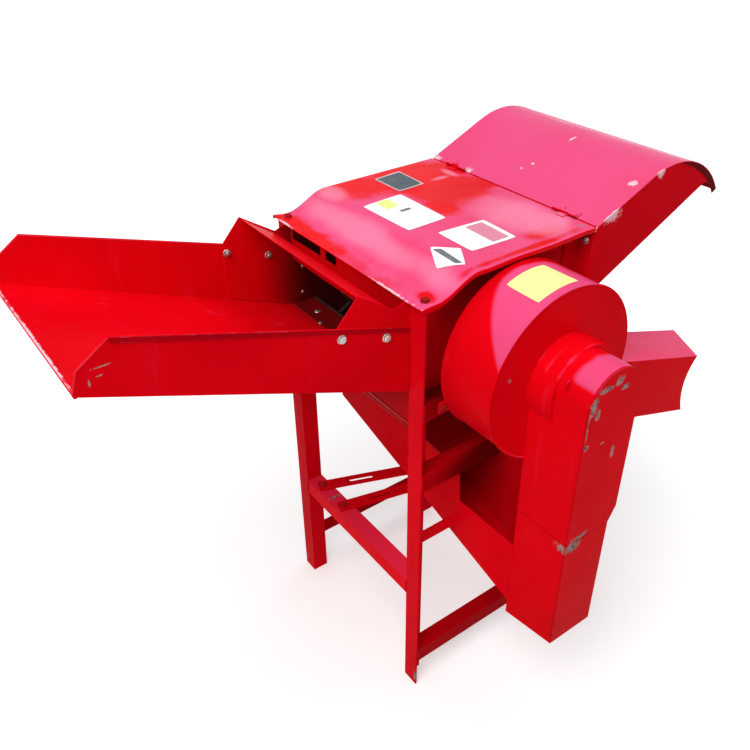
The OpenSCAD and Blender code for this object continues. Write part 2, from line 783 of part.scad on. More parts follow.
module pulley() {
    y0 = frameW + pulleyGap;
    color("gray") place() translate([shaftX, y0, shaftZ]) rotate([-90, 0, 0]) rotate_extrude($fn = 128)
        polygon([[fitR, 0], [shaftR + 14, 0], [shaftR + 14, 12], [pulleyR - 22, 12],
            [pulleyR - 22, 2], [pulleyR, 2], [pulleyR, 5], [pulleyR - 13, 9], [pulleyR - 13, 14],
            [pulleyR, 18], [pulleyR, 21], [pulleyR - 13, 25], [pulleyR - 13, 30], [pulleyR, 34],
            [pulleyR, pulleyW - 1], [pulleyR - 22, pulleyW - 1], [pulleyR - 22, pulleyW - 12],
            [shaftR + 14, pulleyW - 12], [shaftR + 14, pulleyW], [fitR, pulleyW]]);
}

front_legs();
back_legs();
side_rails();
bottom_rails();
mid_rails();
bearing_rails();
motor_bars();
bar_bolts();
chute_stays();
end_walls();
left_wall();
right_wall();
feed_ledge();
straw_ledge();
hopper_sheets();
chute_floor();
chute_sides();
chute_back();
grate_rods();
bearing_blocks();
bearing_bolts();
tray_floor();
tray_walls();
tray_bolts();
throat_roof();
hood_top();
hood_cheeks();
hood_bolts();
hood_hinge_leaves();
hinge_pins();
lock_tabs();
cover();
cover_hinge_leaves();
cover_screws();
fan_wrap();
fan_front_plate();
fan_back_plate();
fan_bolts();
fan_outlet();
upper_duct();
lower_duct();
shaft();
drum_discs();
drum_bars();
fan_wheel();
pulley();
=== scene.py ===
import math
import random

import bmesh
import bpy
from mathutils import Matrix, Vector, noise


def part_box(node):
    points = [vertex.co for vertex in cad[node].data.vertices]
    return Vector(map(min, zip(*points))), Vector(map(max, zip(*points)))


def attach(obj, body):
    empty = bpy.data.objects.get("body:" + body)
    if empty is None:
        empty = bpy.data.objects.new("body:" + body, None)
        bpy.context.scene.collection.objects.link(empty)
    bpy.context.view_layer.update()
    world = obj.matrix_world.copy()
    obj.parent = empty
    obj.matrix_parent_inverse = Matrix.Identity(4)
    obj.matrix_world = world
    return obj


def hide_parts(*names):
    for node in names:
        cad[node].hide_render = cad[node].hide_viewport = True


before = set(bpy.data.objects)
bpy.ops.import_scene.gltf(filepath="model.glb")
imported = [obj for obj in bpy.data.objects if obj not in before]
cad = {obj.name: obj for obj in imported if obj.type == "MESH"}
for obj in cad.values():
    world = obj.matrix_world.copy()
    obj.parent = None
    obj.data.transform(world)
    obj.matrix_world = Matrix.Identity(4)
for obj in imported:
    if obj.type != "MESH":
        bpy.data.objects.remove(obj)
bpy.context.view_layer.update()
print("frame loaded,", len(cad), "nodes")

# The maker's drawing is in millimetres from the front left leg; the frame's origin is under the middle
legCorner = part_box("front_legs")[0]
originX = -legCorner.x * 1000
originY = -legCorner.y * 1000


def spot(x, y, z):
    return Vector(((x - originX) / 1000, (y - originY) / 1000, z / 1000))


def mm(value):
    return value / 1000


# Main sizes of the machine, in millimetres
machine = {
    "frameLength": 410, "frameDepth": 480, "angleLeg": 40, "angleThick": 4,
    "bottomRail": 121, "sideRail": 322, "middleRail": 640, "bearingRail": 812,
    "shaftX": 211, "shaftZ": 864, "lipZ": 1014, "coverZ": 1047,
}


# Tools for shapes

def finishMesh(name, bm, sharpAngle):
    bmesh.ops.remove_doubles(bm, verts=bm.verts, dist=1e-6)
    bmesh.ops.recalc_face_normals(bm, faces=bm.faces)
    mesh = bpy.data.meshes.new(name)
    bm.to_mesh(mesh)
    bm.free()
    mesh.polygons.foreach_set("use_smooth", [True] * len(mesh.polygons))
    mesh.set_sharp_from_angle(angle=math.radians(sharpAngle))
    item = bpy.data.objects.new(name, mesh)
    bpy.context.scene.collection.objects.link(item)
    return item


# Makes a piece, gives it its finish and its body, and hides the imported nodes that it stands for
def makePiece(name, bm, sharpAngle, finish, body="frame", nodes=()):
    item = finishMesh(name, bm, sharpAngle)
    item.data.materials.append(finish)
    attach(item, body)
    if nodes:
        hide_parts(*nodes)


# Ring of points round a centre, spread by two directions
def addRing(bm, centre, side, other, radius, sides, start=0.0):
    turns = (start + 2 * math.pi * k / sides for k in range(sides))
    return [bm.verts.new(centre + (side * math.cos(a) + other * math.sin(a)) * radius) for a in turns]


# Skin over a row of rings, closed at both ends
def joinRings(bm, rings):
    count = len(rings[0])
    for first, second in zip(rings, rings[1:]):
        for i in range(count):
            after = (i + 1) % count
            bm.faces.new((first[i], first[after], second[after], second[i]))
    bm.faces.new(list(reversed(rings[0])))
    bm.faces.new(rings[-1])


# Round bar along a line of points; radiusAt gives its radius at each point
def addTube(bm, points, radiusAt, sides=10):
    rings = []
    side = None
    for i, point in enumerate(points):
        ahead = points[min(i + 1, len(points) - 1)] - points[max(i - 1, 0)]
        ahead.normalize()
        if side is None:
            side = ahead.orthogonal().normalized()
        side = (side - ahead * side.dot(ahead)).normalized()
        rings.append(addRing(bm, point, side, ahead.cross(side), radiusAt(i), sides))
    joinRings(bm, rings)


# Turned or many-sided piece: steps are (height, radius) along an axis
def addTurned(bm, base, axis, steps, sides, start=0.0):
    axis = axis.normalized()
    side = axis.orthogonal().normalized()
    other = axis.cross(side)
    joinRings(bm, [addRing(bm, base + axis * mm(height), side, other, mm(radius), sides, start)
                   for height, radius in steps])


# Sheet of even thickness under a grid of points; rows run along the sheet
def addSheet(bm, rows, thick):
    tall, wide = len(rows), len(rows[0])
    under = []
    for i in range(tall):
        line = []
        for j in range(wide):
            along = rows[min(i + 1, tall - 1)][j] - rows[max(i - 1, 0)][j]
            across = rows[i][min(j + 1, wide - 1)] - rows[i][max(j - 1, 0)]
            line.append(rows[i][j] - along.cross(across).normalized() * thick)
        under.append(line)
    top = [[bm.verts.new(p) for p in line] for line in rows]
    low = [[bm.verts.new(p) for p in line] for line in under]
    for i in range(tall - 1):
        for j in range(wide - 1):
            bm.faces.new((top[i][j], top[i + 1][j], top[i + 1][j + 1], top[i][j + 1]))
            bm.faces.new((low[i][j], low[i][j + 1], low[i + 1][j + 1], low[i + 1][j]))
    for i in range(tall - 1):
        for j in (0, wide - 1):
            bm.faces.new((top[i][j], top[i + 1][j], low[i + 1][j], low[i][j]))
    for j in range(wide - 1):
        for i in (0, tall - 1):
            bm.faces.new((top[i][j], low[i][j], low[i][j + 1], top[i][j + 1]))


def straightLine(start, end, step):
    count = max(2, int((end - start).length * 1000 / step))
    return [start.lerp(end, i / count) for i in range(count + 1)]


# Straight lines from corner to corner
def brokenLine(corners, step):
    line = []
    for first, second in zip(corners, corners[1:]):
        line += straightLine(first, second, step)[:-1]
    return line + [corners[-1]]


# Smooth unevenness, from about -1 to 1
def uneven(x, y, z):
    return noise.noise(Vector((x, y, z)))


# One in the middle, falling away over a width
def fall(distance, width):
    return math.exp(-(distance / width) ** 2)


# Place at a radius and an angle in degrees round the shaft
def roundShaft(reach, angle, y):
    a = math.radians(angle)
    return spot(machine["shaftX"] + reach * math.cos(a), y, machine["shaftZ"] + reach * math.sin(a))


# Tools for materials

# Lays out the nodes of a material or of the world
class Board:
    def __init__(self, owner, shader="BsdfPrincipled", out="OutputMaterial"):
        self.owner = owner
        owner.use_nodes = True
        self.nodes = owner.node_tree.nodes
        self.links = owner.node_tree.links
        self.nodes.clear()
        self.shader = self.add(shader)
        self.surface = self.add(out).inputs["Surface"]
        self.feed(self.surface, self.shader.outputs[0])
        self.coordinates = self.add("TexCoord")
        self.place = self.coordinates.outputs["Object"]

    def add(self, kind, operation=None):
        node = self.nodes.new("ShaderNode" + kind)
        if operation:
            node.operation = operation
        return node

    def feed(self, socket, value):
        if isinstance(value, bpy.types.NodeSocket):
            self.links.new(value, socket)
        elif isinstance(value, (tuple, list)) and len(value) == 3 and socket.type == "RGBA":
            socket.default_value = (*value, 1.0)
        else:
            socket.default_value = value

    # Sets or joins an input of the shader
    def give(self, name, value):
        self.feed(self.shader.inputs[name], value)

    # Adds a node with its inputs in order and gives its first output
    def join(self, kind, *values, operation=None):
        node = self.add(kind, operation)
        for socket, value in zip(node.inputs, values):
            self.feed(socket, value)
        return node.outputs[0]

    def math(self, kind, first, second):
        return self.join("Math", first, second, operation=kind)

    def times(self, first, second):
        return self.math("MULTIPLY", first, second)

    def vector(self, kind, first, second=(0, 0, 0)):
        node = self.add("VectorMath", kind)
        self.feed(node.inputs[0], first)
        self.feed(node.inputs[1], second)
        return node.outputs["Value" if kind in ("LENGTH", "DOT_PRODUCT") else "Vector"]

    # One where the surface faces the given way
    def facing(self, toward):
        return self.vector("DOT_PRODUCT", self.coordinates.outputs["Normal"], tuple(toward))

    def between(self, value, low, high, outLow=0.0, outHigh=1.0):
        node = self.add("MapRange")
        node.interpolation_type = "SMOOTHSTEP"
        self.feed(node.inputs["Value"], value)
        for name, end in (("From Min", low), ("From Max", high), ("To Min", outLow), ("To Max", outHigh)):
            node.inputs[name].default_value = end
        return node.outputs["Result"]

    def noise(self, scale, detail, roughness, stretch=None):
        node = self.add("TexNoise")
        for name, value in (("Scale", scale), ("Detail", detail), ("Roughness", roughness)):
            node.inputs[name].default_value = value
        place = self.vector("MULTIPLY", self.place, stretch) if stretch else self.place
        self.feed(node.inputs["Vector"], place)
        return node.outputs["Fac"]

    # Noise of one scale, detail and roughness, stretched between two values
    def grain(self, scale, detail, roughness, low, high, outLow=0.0, outHigh=1.0):
        return self.between(self.noise(scale, detail, roughness), low, high, outLow, outHigh)

    def mix(self, factor, first, second):
        node = self.add("Mix")
        node.data_type = "RGBA"
        self.feed(node.inputs[0], factor)
        self.feed(node.inputs[6], first)
        self.feed(node.inputs[7], second)
        return node.outputs[2]

    # One inside any of the rough-edged spots: place and half sizes of each, in millimetres
    def anySpot(self, marks, wobble, edge=0.3):
        found = 0.0
        for x, y, z, *halves in marks:
            away = self.vector("SUBTRACT", self.place, tuple(spot(x, y, z)))
            scaled = self.vector("DIVIDE", away, tuple(mm(half) for half in halves))
            reach = self.math("ADD", self.vector("LENGTH", scaled), wobble)
            found = self.math("MAXIMUM", found, self.between(reach, 1.0 + edge, 1.0 - edge))
        return found

    # One along outer edges, for wear and painted edge highlight
    def edgeWearAndHighlight(self, radius, low, high):
        bevel = self.add("Bevel")
        bevel.samples = 4
        bevel.inputs["Radius"].default_value = radius
        flat = self.add("NewGeometry").outputs["Normal"]
        meet = self.vector("DOT_PRODUCT", bevel.outputs["Normal"], flat)
        return self.between(self.math("SUBTRACT", 1.0, meet), low, high)

    # One for what is seen directly, in a reflection or through glass
    def seenDirectly(self):
        path = self.add("LightPath").outputs
        seen = self.math("MAXIMUM", path["Is Camera Ray"], path["Is Glossy Ray"])
        return self.math("MAXIMUM", seen, path["Is Transmission Ray"])

    # Joins colour, roughness and layers of bump to the shader: height, strength and distance
    def finish(self, colour, rough, layers):
        self.give("Base Color", colour)
        self.give("Roughness", rough)
        normal = None
        for height, strength, distance in layers:
            node = self.add("Bump")
            node.inputs["Strength"].default_value = strength
            node.inputs["Distance"].default_value = distance
            self.feed(node.inputs["Height"], height)
            if normal is not None:
                self.feed(node.inputs["Normal"], normal)
            normal = node.outputs["Normal"]
        self.give("Normal", normal)
        return self.owner


# Red enamel where a look says nothing else: its colours (among them the pink of the painted sky reflection
# and painted highlight, and the dark reds of painted shade), where the painted reflection lies, how it
# wears and shines
paint = {
    "red": (0.80, 0.0012, 0.0075), "deep": (0.66, 0.0008, 0.0050), "fadedAndSheen": (0.77, 0.082, 0.230),
    "primer": (0.44, 0.26, 0.235), "grime": (0.14, 0.075, 0.070), "bareWhite": (0.86, 0.52, 0.58),
    "recessShade": (0.095, 0.004, 0.004), "paintedSheen": (0.88, 0.27, 0.42), "shadow": (0.050, 0.0006, 0.0008),
    "sheenToward": (0.0, 0.0, 1.0), "sheenFrom": 0.55, "sheenTo": 0.72, "cloudScale": 5.0, "sheenLeast": 0.86,
    "edgeWearAndHighlight": 0.35, "streaks": 0.10, "wave": 0.35, "waveSize": 7.5,
    "roughness": (0.25, 0.39), "gloss": 0.008, "glossTint": (1.0, 0.12, 0.18),
}
# Its noises: scale, detail and roughness, the part that is stretched, and the two values it gives
paintGrain = {
    "tone": (2.4, 3.0, 0.5, 0.35, 0.72),
    "drift": (11.0, 3.0, 0.55, 0.25, 0.75, -0.42, 0.42),
    "mist": (8.0, 2.0, 0.5, 0.25, 0.75, -0.35, 0.35),
    "dustAndShade": (12.0, 4.0, 0.6, 0.3, 0.7, 0.45, 0.9),
    "rubbed": (38.0, 4.0, 0.7, 0.50, 0.62),
    "flake": (95.0, 4.0, 0.65, 0.2, 0.8, -0.55, 0.55),
    "oldPrimer": (160.0, 3.0, 0.6, 0.45, 0.65),
    "sheen": (14.0, 4.0, 0.6, 0.3, 0.7),
}


# A look changes what is in paint, and may add skySheen (how much painted pink sky reflection the faces
# toward sheenToward get, full from the slope sheenTo) with sheenAlong and sheenGaps (spots left without
# it), sheenSpots (painted highlight spots) and shade (painted shade spots), under (colour of the underside,
# dust and painted shade), inside (the walls and the depth where painted shade turns it dark), and spots of
# chips and whiteChips
def redPaint(name, change):
    look = {**paint, **change}
    board = Board(bpy.data.materials.new(name))
    colour = board.mix(board.grain(*paintGrain["tone"]), look["red"], look["deep"])
    # painted pink reflection of the sky on the faces toward sheenToward, thinned in clouds down to
    # sheenLeast, left out in the sheenGaps spots
    if "skySheen" in look:
        facing = board.facing(Vector(look["sheenToward"]).normalized())
        if "sheenAlong" in look:
            facing = board.math("ADD", facing, board.vector("DOT_PRODUCT", board.place, look["sheenAlong"]))
        upward = board.between(facing, look["sheenFrom"], look["sheenTo"])
        cloud = board.grain(look["cloudScale"], 2.0, 0.5, 0.30, 0.70, look["sheenLeast"], 1.0)
        amount = board.times(board.times(upward, look["skySheen"]), cloud)
        if "sheenGaps" in look:
            kept = board.anySpot(look["sheenGaps"], board.grain(*paintGrain["drift"]), 0.38)
            amount = board.times(amount, board.math("SUBTRACT", 1.0, kept))
        colour = board.mix(amount, colour, look["fadedAndSheen"])
    # painted highlight: pale pink spots on the faces that get the painted reflection
    if "sheenSpots" in look:
        paintedSheen = board.times(board.anySpot(look["sheenSpots"], board.grain(*paintGrain["mist"]), 0.6), 0.6)
        colour = board.mix(board.times(paintedSheen, upward), colour, paint["paintedSheen"])
    if "shade" in look:
        shade = board.times(board.anySpot(look["shade"], 0.0, 0.45), 0.80)
        colour = board.mix(shade, colour, paint["shadow"])
    # darker underside: dust and painted shade
    if "under" in look:
        below = board.between(board.facing((0.0, 0.0, -1.0)), 0.3, 0.7)
        colour = board.mix(board.times(below, board.grain(*paintGrain["dustAndShade"])), colour, look["under"])
    # faint scuffs and rain marks
    scuff = board.between(board.noise(30.0, 4.0, 0.6, (1.0, 1.0, 0.10)), 0.58, 0.80, 0.0, paint["streaks"])
    colour = board.mix(scuff, colour, paint["fadedAndSheen"])
    # painted shade: darker towards the depth between the walls
    if "inside" in look:
        low, high, farLeft, nearRight = look["inside"]
        split = board.add("SeparateXYZ")
        board.feed(split.inputs[0], board.place)
        front = board.between(split.outputs[1], spot(0, low, 0).y, spot(0, low + 0.6, 0).y)
        back = board.between(split.outputs[1], spot(0, high, 0).y, spot(0, high - 0.6, 0).y)
        deepIn = board.between(split.outputs[0], spot(farLeft, 0, 0).x, spot(nearRight, 0, 0).x)
        dark = board.times(board.times(front, back), deepIn)
        colour = board.mix(dark, colour, paint["recessShade"])
    # worn outer edges, which also stand for a painted edge highlight, in pale pink
    wear = board.times(board.edgeWearAndHighlight(0.0016, 0.10, 0.32), board.grain(*paintGrain["rubbed"]))
    colour = board.mix(board.times(wear, look["edgeWearAndHighlight"]), colour, paint["fadedAndSheen"])
    bare = None
    if "chips" in look or "whiteChips" in look:
        flake = board.grain(*paintGrain["flake"])
    if "chips" in look:
        bare = board.anySpot(look["chips"], flake)
        grey = board.mix(board.grain(*paintGrain["oldPrimer"]), paint["primer"], paint["grime"])
        colour = board.mix(bare, colour, grey)
    if "whiteChips" in look:
        white = board.anySpot(look["whiteChips"], flake)
        colour = board.mix(white, colour, paint["bareWhite"])
        bare = white if bare is None else board.math("MAXIMUM", bare, white)
    rough = board.grain(*paintGrain["sheen"], *paint["roughness"])
    layers = [(board.noise(paint["waveSize"], 2.0, 0.4), look["wave"], 0.004),
              (board.noise(620.0, 2.0, 0.5), 0.10, 0.0006)]
    if bare is not None:
        rough = board.math("ADD", rough, board.times(bare, 0.4))
        layers.append((board.math("SUBTRACT", 1.0, bare), 0.5, 0.0005))
    board.give("Specular IOR Level", look["gloss"])
    board.give("Specular Tint", paint["glossTint"])
    return board.finish(colour, rough, layers)


def plainRed(name, red, deep, wave=0.2, edgeWearAndHighlight=0.35):
    return redPaint(name, {"red": red, "deep": deep, "wave": wave, "edgeWearAndHighlight": edgeWearAndHighlight})


# Bare or plated metal: two colours, size of the patches and the grain, how deep the grain is, and rust
def metalFinish(name, look):
    board = Board(bpy.data.materials.new(name))
    patch = look["patch"]
    colour = board.mix(board.grain(patch, 4.0, 0.6, 0.35, 0.68), look["base"], look["second"])
    if "rust" in look:
        rust = board.grain(patch * 2.3, 5.0, 0.7, 0.56, 0.70)
        colour = board.mix(board.times(rust, look["rust"]), colour, (0.16, 0.05, 0.022))
    board.give("Metallic", look["metal"])
    rough = board.grain(patch * 3, 3.0, 0.6, 0.3, 0.7, *look["roughness"])
    scratches = board.noise(look["grain"], 3.0, 0.6, look.get("stretch"))
    return board.finish(colour, rough, [(scratches, look["depth"], 0.0005)])


# Blank film or plate: its colour and that of its dirt, how much dirt and how many specks; a little wrinkled
def stickerFinish(name, base, dirtColour, dirt, specks=0.0):
    board = Board(bpy.data.materials.new(name))
    colour = board.mix(board.grain(42.0, 5.0, 0.65, 0.50, 0.78, 0.0, dirt), base, dirtColour)
    colour = board.mix(board.grain(230.0, 2.0, 0.5, 0.74, 0.80, 0.0, specks), colour, (0.10, 0.09, 0.08))
    board.give("Specular IOR Level", 0.35)
    rough = board.grain(30.0, 3.0, 0.5, 0.3, 0.7, 0.34, 0.52)
    wrinkles, pores = board.noise(26.0, 3.0, 0.5), board.noise(800.0, 2.0, 0.5)
    return board.finish(colour, rough, [(wrinkles, 0.25, 0.0012), (pores, 0.06, 0.0003)])


trayRed = redPaint("tray_red", {
    "wave": 0.28, "edgeWearAndHighlight": 0.55,
    "chips": [(-521, 37, 1087, 13, 3, 1.4), (-527, 37, 1074, 5, 3, 1.6), (-541, 37, 1066, 1.4, 3, 6),
              (-566, 120, 1052, 4, 30, 3)],
    "whiteChips": [(-560, 442, 1120, 6, 4, 3)],
})
# painted shade deep inside the throat, and a spot of painted shade
throatRed = redPaint("throat_red", {
    "wave": 0.3, "inside": (41, 439, -95, 40), "edgeWearAndHighlight": 0.4, "shade": [(110, 41, 715, 120, 14, 95)]})
# dark copy of the red as painted shade, for the walls inside and the hood's edge strips
insideShadedRed = plainRed("inner_red", (0.20, 0.004, 0.005), (0.06, 0.004, 0.004), 0.3, 0.2)
# darker copy of the red as painted shade, for the hopper under the tray
hopperShadedRed = plainRed("hopper_red", (0.56, 0.003, 0.008), (0.40, 0.0015, 0.004), 0.4, 0.25)
chuteRed = redPaint("chute_red", {"wave": 0.4, "edgeWearAndHighlight": 0.4, "chips": [(249, -60, 470, 3, 6, 4)]})
# painted pink sky reflection on the upward faces with gaps, painted highlight spots, a line of painted
# shade at the seam, and an underside of dust and painted shade
coverRed = redPaint("cover_red", {
    "skySheen": 0.96, "sheenToward": (-0.25, 0.0, 0.97), "sheenFrom": 0.80, "sheenTo": 0.92, "wave": 0.5,
    "cloudScale": 9.0, "sheenLeast": 0.74, "gloss": 0.05,
    "sheenGaps": [(300, 430, 1047, 170, 74, 60), (290, 345, 1047, 92, 100, 60), (350, 300, 1047, 66, 62, 60),
                (238, 250, 1047, 32, 48, 60), (160, 472, 1047, 66, 28, 60), (304, 44, 1047, 42, 22, 40),
                (240, 12, 1047, 120, 9, 40), (0, 430, 1013, 26, 270, 16), (22, 28, 1014, 15, 18, 12)],
    "sheenSpots": [(336, 150, 1047, 60, 76, 50), (350, 76, 1047, 46, 52, 50), (112, 440, 1045, 22, 46, 30),
             (66, 270, 1032, 26, 240, 22),
             (377, 384, 1047, 9, 24, 30), (341, 373, 1047, 20, 7, 30)],
    "shade": [(407, 240, 1045, 0.8, 900, 8)], "under": (0.16, 0.016, 0.012),
    "chips": [(393, 22, 1047, 5, 4, 6)],
    "whiteChips": [(-9, 70, 1014, 4, 62, 2.2), (-9, 440, 1014, 4, 26, 1.2)],
})
# painted pink sky reflection on the upward faces, painted highlight streaks along the crest, and an
# underside of dust and painted shade
hoodRed = redPaint("hood_red", {
    "skySheen": 0.96, "sheenToward": (-0.30, 0.0, 0.95), "sheenFrom": 0.60, "sheenTo": 0.78, "wave": 0.4,
    "gloss": 0.05, "under": (0.20, 0.012, 0.010),
    "sheenSpots": [(668, 120, 1117, 13, 250, 14), (655, 300, 1116, 10, 150, 14)],
    "whiteChips": [(415, 472, 1048, 9, 10, 6), (416, 366, 1049, 8, 9, 8), (588, 234, 1123, 13, 2.6, 20),
                   (529, 23, 1098, 6, 8, 12), (447, -1, 1062, 27, 2.2, 14), (577, -1, 1118, 9, 2.6, 12),
                   (490, 250, 1081, 2.4, 3, 8), (470, 262, 1072, 2, 3, 8)],
})
cheekRed = redPaint("cheek_red", {
    "red": (0.72, 0.0012, 0.0090), "deep": (0.60, 0.0008, 0.0060),
    "whiteChips": [(447, -1, 1062, 27, 2.2, 14), (577, -1, 1118, 9, 2.6, 12)]})
# painted pink sky reflection in a band round the casing, with gaps
fanRed = redPaint("fan_red", {
    "skySheen": 0.95, "sheenAlong": (0.0, -5.05, 0.0), "sheenFrom": 1.76, "sheenTo": 1.83, "wave": 0.55,
    "sheenGaps": [(330, -64, 985, 72, 110, 70), (230, -2, 1034, 110, 16, 40)],
    "chips": [(80, -127, 905, 3, 3, 3)],
})
# painted pink sky reflection on the upward faces
outletRed = redPaint("outlet_red", {
    "skySheen": 0.95, "fadedAndSheen": (1.0, 0.085, 0.22), "sheenFrom": 0.60, "sheenTo": 0.70, "wave": 0.5})
# painted pink sky reflection on the upward faces with gaps, and a line of painted shade at the lap
ductRed = redPaint("duct_red", {
    "skySheen": 0.92, "sheenFrom": 0.50, "sheenTo": 0.64, "wave": 0.5,
    "sheenGaps": [(193, -191, 900, 400, 18, 400), (193, -165, 900, 400, 20, 400),
                (193, -138, 900, 400, 20, 400)],
    "shade": [(193, -253, 583, 70, 8, 0.9)],
    "chips": [(148, -254, 893, 9, 5, 15), (160, -254, 874, 6, 4, 10), (172, -254, 918, 13, 5, 5),
              (205, -254, 924, 10, 4, 9), (222, -254, 905, 8, 4, 5), (145.5, -254, 811, 5, 4, 5),
              (219, -254, 767, 4.2, 4, 13), (186, -254, 803, 5, 4, 1.6), (140, -254, 852, 1.5, 4, 24),
              (156, -254, 574, 18, 5, 15), (170, -254, 590, 20, 5, 6), (138, -246, 571, 4, 16, 10)],
})
frameRed = redPaint("frame_red", {
    "red": (0.78, 0.002, 0.010), "deep": (0.64, 0.001, 0.007), "wave": 0.25, "edgeWearAndHighlight": 0.5,
    "chips": [(2, 2, 30, 6, 6, 12), (408, 2, 22, 6, 6, 10), (2, 478, 26, 6, 6, 12)],
})
# darker copy of the frame red as painted shade on the rails, with spots of painted shade
railShadedRed = redPaint("rail_red", {
    "red": (0.50, 0.001, 0.005), "deep": (0.36, 0.001, 0.004), "wave": 0.25, "edgeWearAndHighlight": 0.5,
    "shade": [(80, 20, 800, 80, 30, 60), (190, 2, 615, 130, 12, 40), (240, 2, 800, 160, 30, 50)],
    "chips": [(300, 2, 96, 8, 5, 3)]})
# lighter copy of the frame red as painted light on the side rails, with a little painted sky reflection on
# top
sideLitRed = redPaint("side_red_lit", {
    "red": (0.93, 0.003, 0.014), "deep": (0.80, 0.002, 0.010), "wave": 0.25, "edgeWearAndHighlight": 0.5,
    "skySheen": 0.30, "sheenFrom": 0.9, "sheenTo": 0.99, "chips": [(20, 350, 322, 16, 4, 3)]})
boltZinc = metalFinish("bolt_zinc", {
    "base": (0.66, 0.63, 0.60), "second": (0.42, 0.40, 0.37), "metal": 0.85, "roughness": (0.28, 0.46),
    "patch": 60.0, "grain": 900.0, "depth": 0.10, "rust": 0.25})
turnedSteel = metalFinish("turned_steel", {
    "base": (0.60, 0.59, 0.57), "second": (0.44, 0.43, 0.41), "metal": 1.0, "roughness": (0.22, 0.36),
    "patch": 24.0, "grain": 700.0, "depth": 0.15, "stretch": (1.0, 14.0, 1.0), "rust": 0.35})
darkSteel = metalFinish("dark_steel", {
    "base": (0.075, 0.026, 0.022), "second": (0.034, 0.014, 0.012), "metal": 0.25,
    "roughness": (0.55, 0.75), "patch": 18.0, "grain": 420.0, "depth": 0.35, "rust": 0.55})
castGrey = metalFinish("cast_grey", {
    "base": (0.155, 0.158, 0.165), "second": (0.085, 0.086, 0.090), "metal": 0.25,
    "roughness": (0.48, 0.66), "patch": 20.0, "grain": 260.0, "depth": 0.55, "rust": 0.15})
boltPainted = plainRed("bolt_painted", (0.42, 0.012, 0.014), (0.24, 0.010, 0.010), edgeWearAndHighlight=0.9)
weldRed = plainRed("weld_red", (0.62, 0.002, 0.008), (0.40, 0.002, 0.006))
whiteFilm = stickerFinish("white_film", (0.89, 0.89, 0.88), (0.62, 0.50, 0.50), 0.18, 0.4)
yellowFilm = stickerFinish("yellow_film", (0.84, 0.88, 0.31), (0.80, 0.76, 0.22), 0.22, 0.6)
limePrint = stickerFinish("lime_print", (0.76, 0.86, 0.22), (0.90, 0.92, 0.70), 0.2)
pinkPrint = stickerFinish("pink_print", (0.66, 0.20, 0.30), (0.75, 0.36, 0.44), 0.25)
greyPrint = stickerFinish("grey_print", (0.10, 0.12, 0.14), (0.38, 0.42, 0.45), 0.5)
darkPlate = stickerFinish("dark_plate", (0.035, 0.055, 0.070), (0.13, 0.18, 0.21), 0.45)
plateRim = metalFinish("plate_rim", {
    "base": (0.70, 0.52, 0.55), "second": (0.52, 0.40, 0.42), "metal": 0.3, "roughness": (0.3, 0.45),
    "patch": 50.0, "grain": 600.0, "depth": 0.1})
print("materials ready")


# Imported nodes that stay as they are: finish, width of the softened edge in millimetres, and names
nodeLooks = [
    (frameRed, 1.0, "front_legs back_legs"), (frameRed, 0.8, "motor_bars chute_stays"),
    (frameRed, 0.6, "lock_tabs"), (sideLitRed, 1.0, "side_rails"),
    (railShadedRed, 1.0, "bottom_rails mid_rails"), (railShadedRed, 0.8, "bearing_rails"),
    (throatRed, 0.5, "end_walls"), (hopperShadedRed, 0.5, "left_wall hopper_sheets"),
    (insideShadedRed, 0.5, "right_wall feed_ledge straw_ledge"),
    (chuteRed, 0.5, "chute_floor chute_sides chute_back"),
    (trayRed, 0.5, "tray_floor tray_walls throat_roof"),
    (cheekRed, 0.5, "hood_cheeks"), (hoodRed, 0.3, "hood_hinge_leaves"),
    (coverRed, 0.3, "cover_hinge_leaves"),
    (fanRed, 0.5, "fan_wrap fan_front_plate fan_back_plate"), (outletRed, 0.5, "fan_outlet"),
    (ductRed, 0.7, "upper_duct lower_duct"),
    (turnedSteel, 0.3, "hinge_pins"), (turnedSteel, 0.8, "shaft"),
    (darkSteel, 0.4, "grate_rods"), (darkSteel, 0.5, "fan_wheel"), (darkSteel, 0.6, "drum_bars"),
    (darkSteel, 0.8, "drum_discs"), (castGrey, 0.6, "pulley"), (castGrey, 1.0, "bearing_blocks"),
]


def dressNode(name, finish, edge):
    item = cad[name]
    mesh = item.data
    if "custom_normal" in mesh.attributes:
        mesh.attributes.remove(mesh.attributes["custom_normal"])
    mesh.polygons.foreach_set("use_smooth", [True] * len(mesh.polygons))
    mesh.materials.clear()
    mesh.materials.append(finish)
    weld = item.modifiers.new("join", "WELD")
    weld.merge_threshold = 0.00001
    flats = item.modifiers.new("flats", "DECIMATE")
    flats.decimate_type = "DISSOLVE"
    flats.angle_limit = math.radians(0.6)
    soft = item.modifiers.new("edges", "BEVEL")
    soft.width = mm(edge)
    soft.segments = 2
    soft.limit_method = "ANGLE"
    soft.angle_limit = math.radians(32)
    even = item.modifiers.new("even", "WEIGHTED_NORMAL")
    even.weight = 80
    even.keep_sharp = True


for nodeFinish, nodeEdge, nodeNames in nodeLooks:
    for nodeName in nodeNames.split():
        dressNode(nodeName, nodeFinish, nodeEdge)
print("packed nodes painted")


# Lifting cover: a folded sheet with a step along its left side. Its lip is bent at two places, each
# with a height, a width, a middle and a length; the front edge buckles in waves from buckleFrom on
cover = {
    "left": -10, "right": 406, "front": -3, "back": 483, "fold": 8, "foldRound": 3.0, "thick": 1.9,
    "stepFrom": 22, "stepTo": 118, "dent": 0.9, "dentSize": 5.5, "seed": 4,
    "lipBends": [(-2.2, 14, 40, 45), (4.0, 16, 483, 22)],
    "buckle": 1.6, "buckleFrom": 130, "buckleWide": 30, "buckleWave": 27, "across": 56, "along": 84,
}


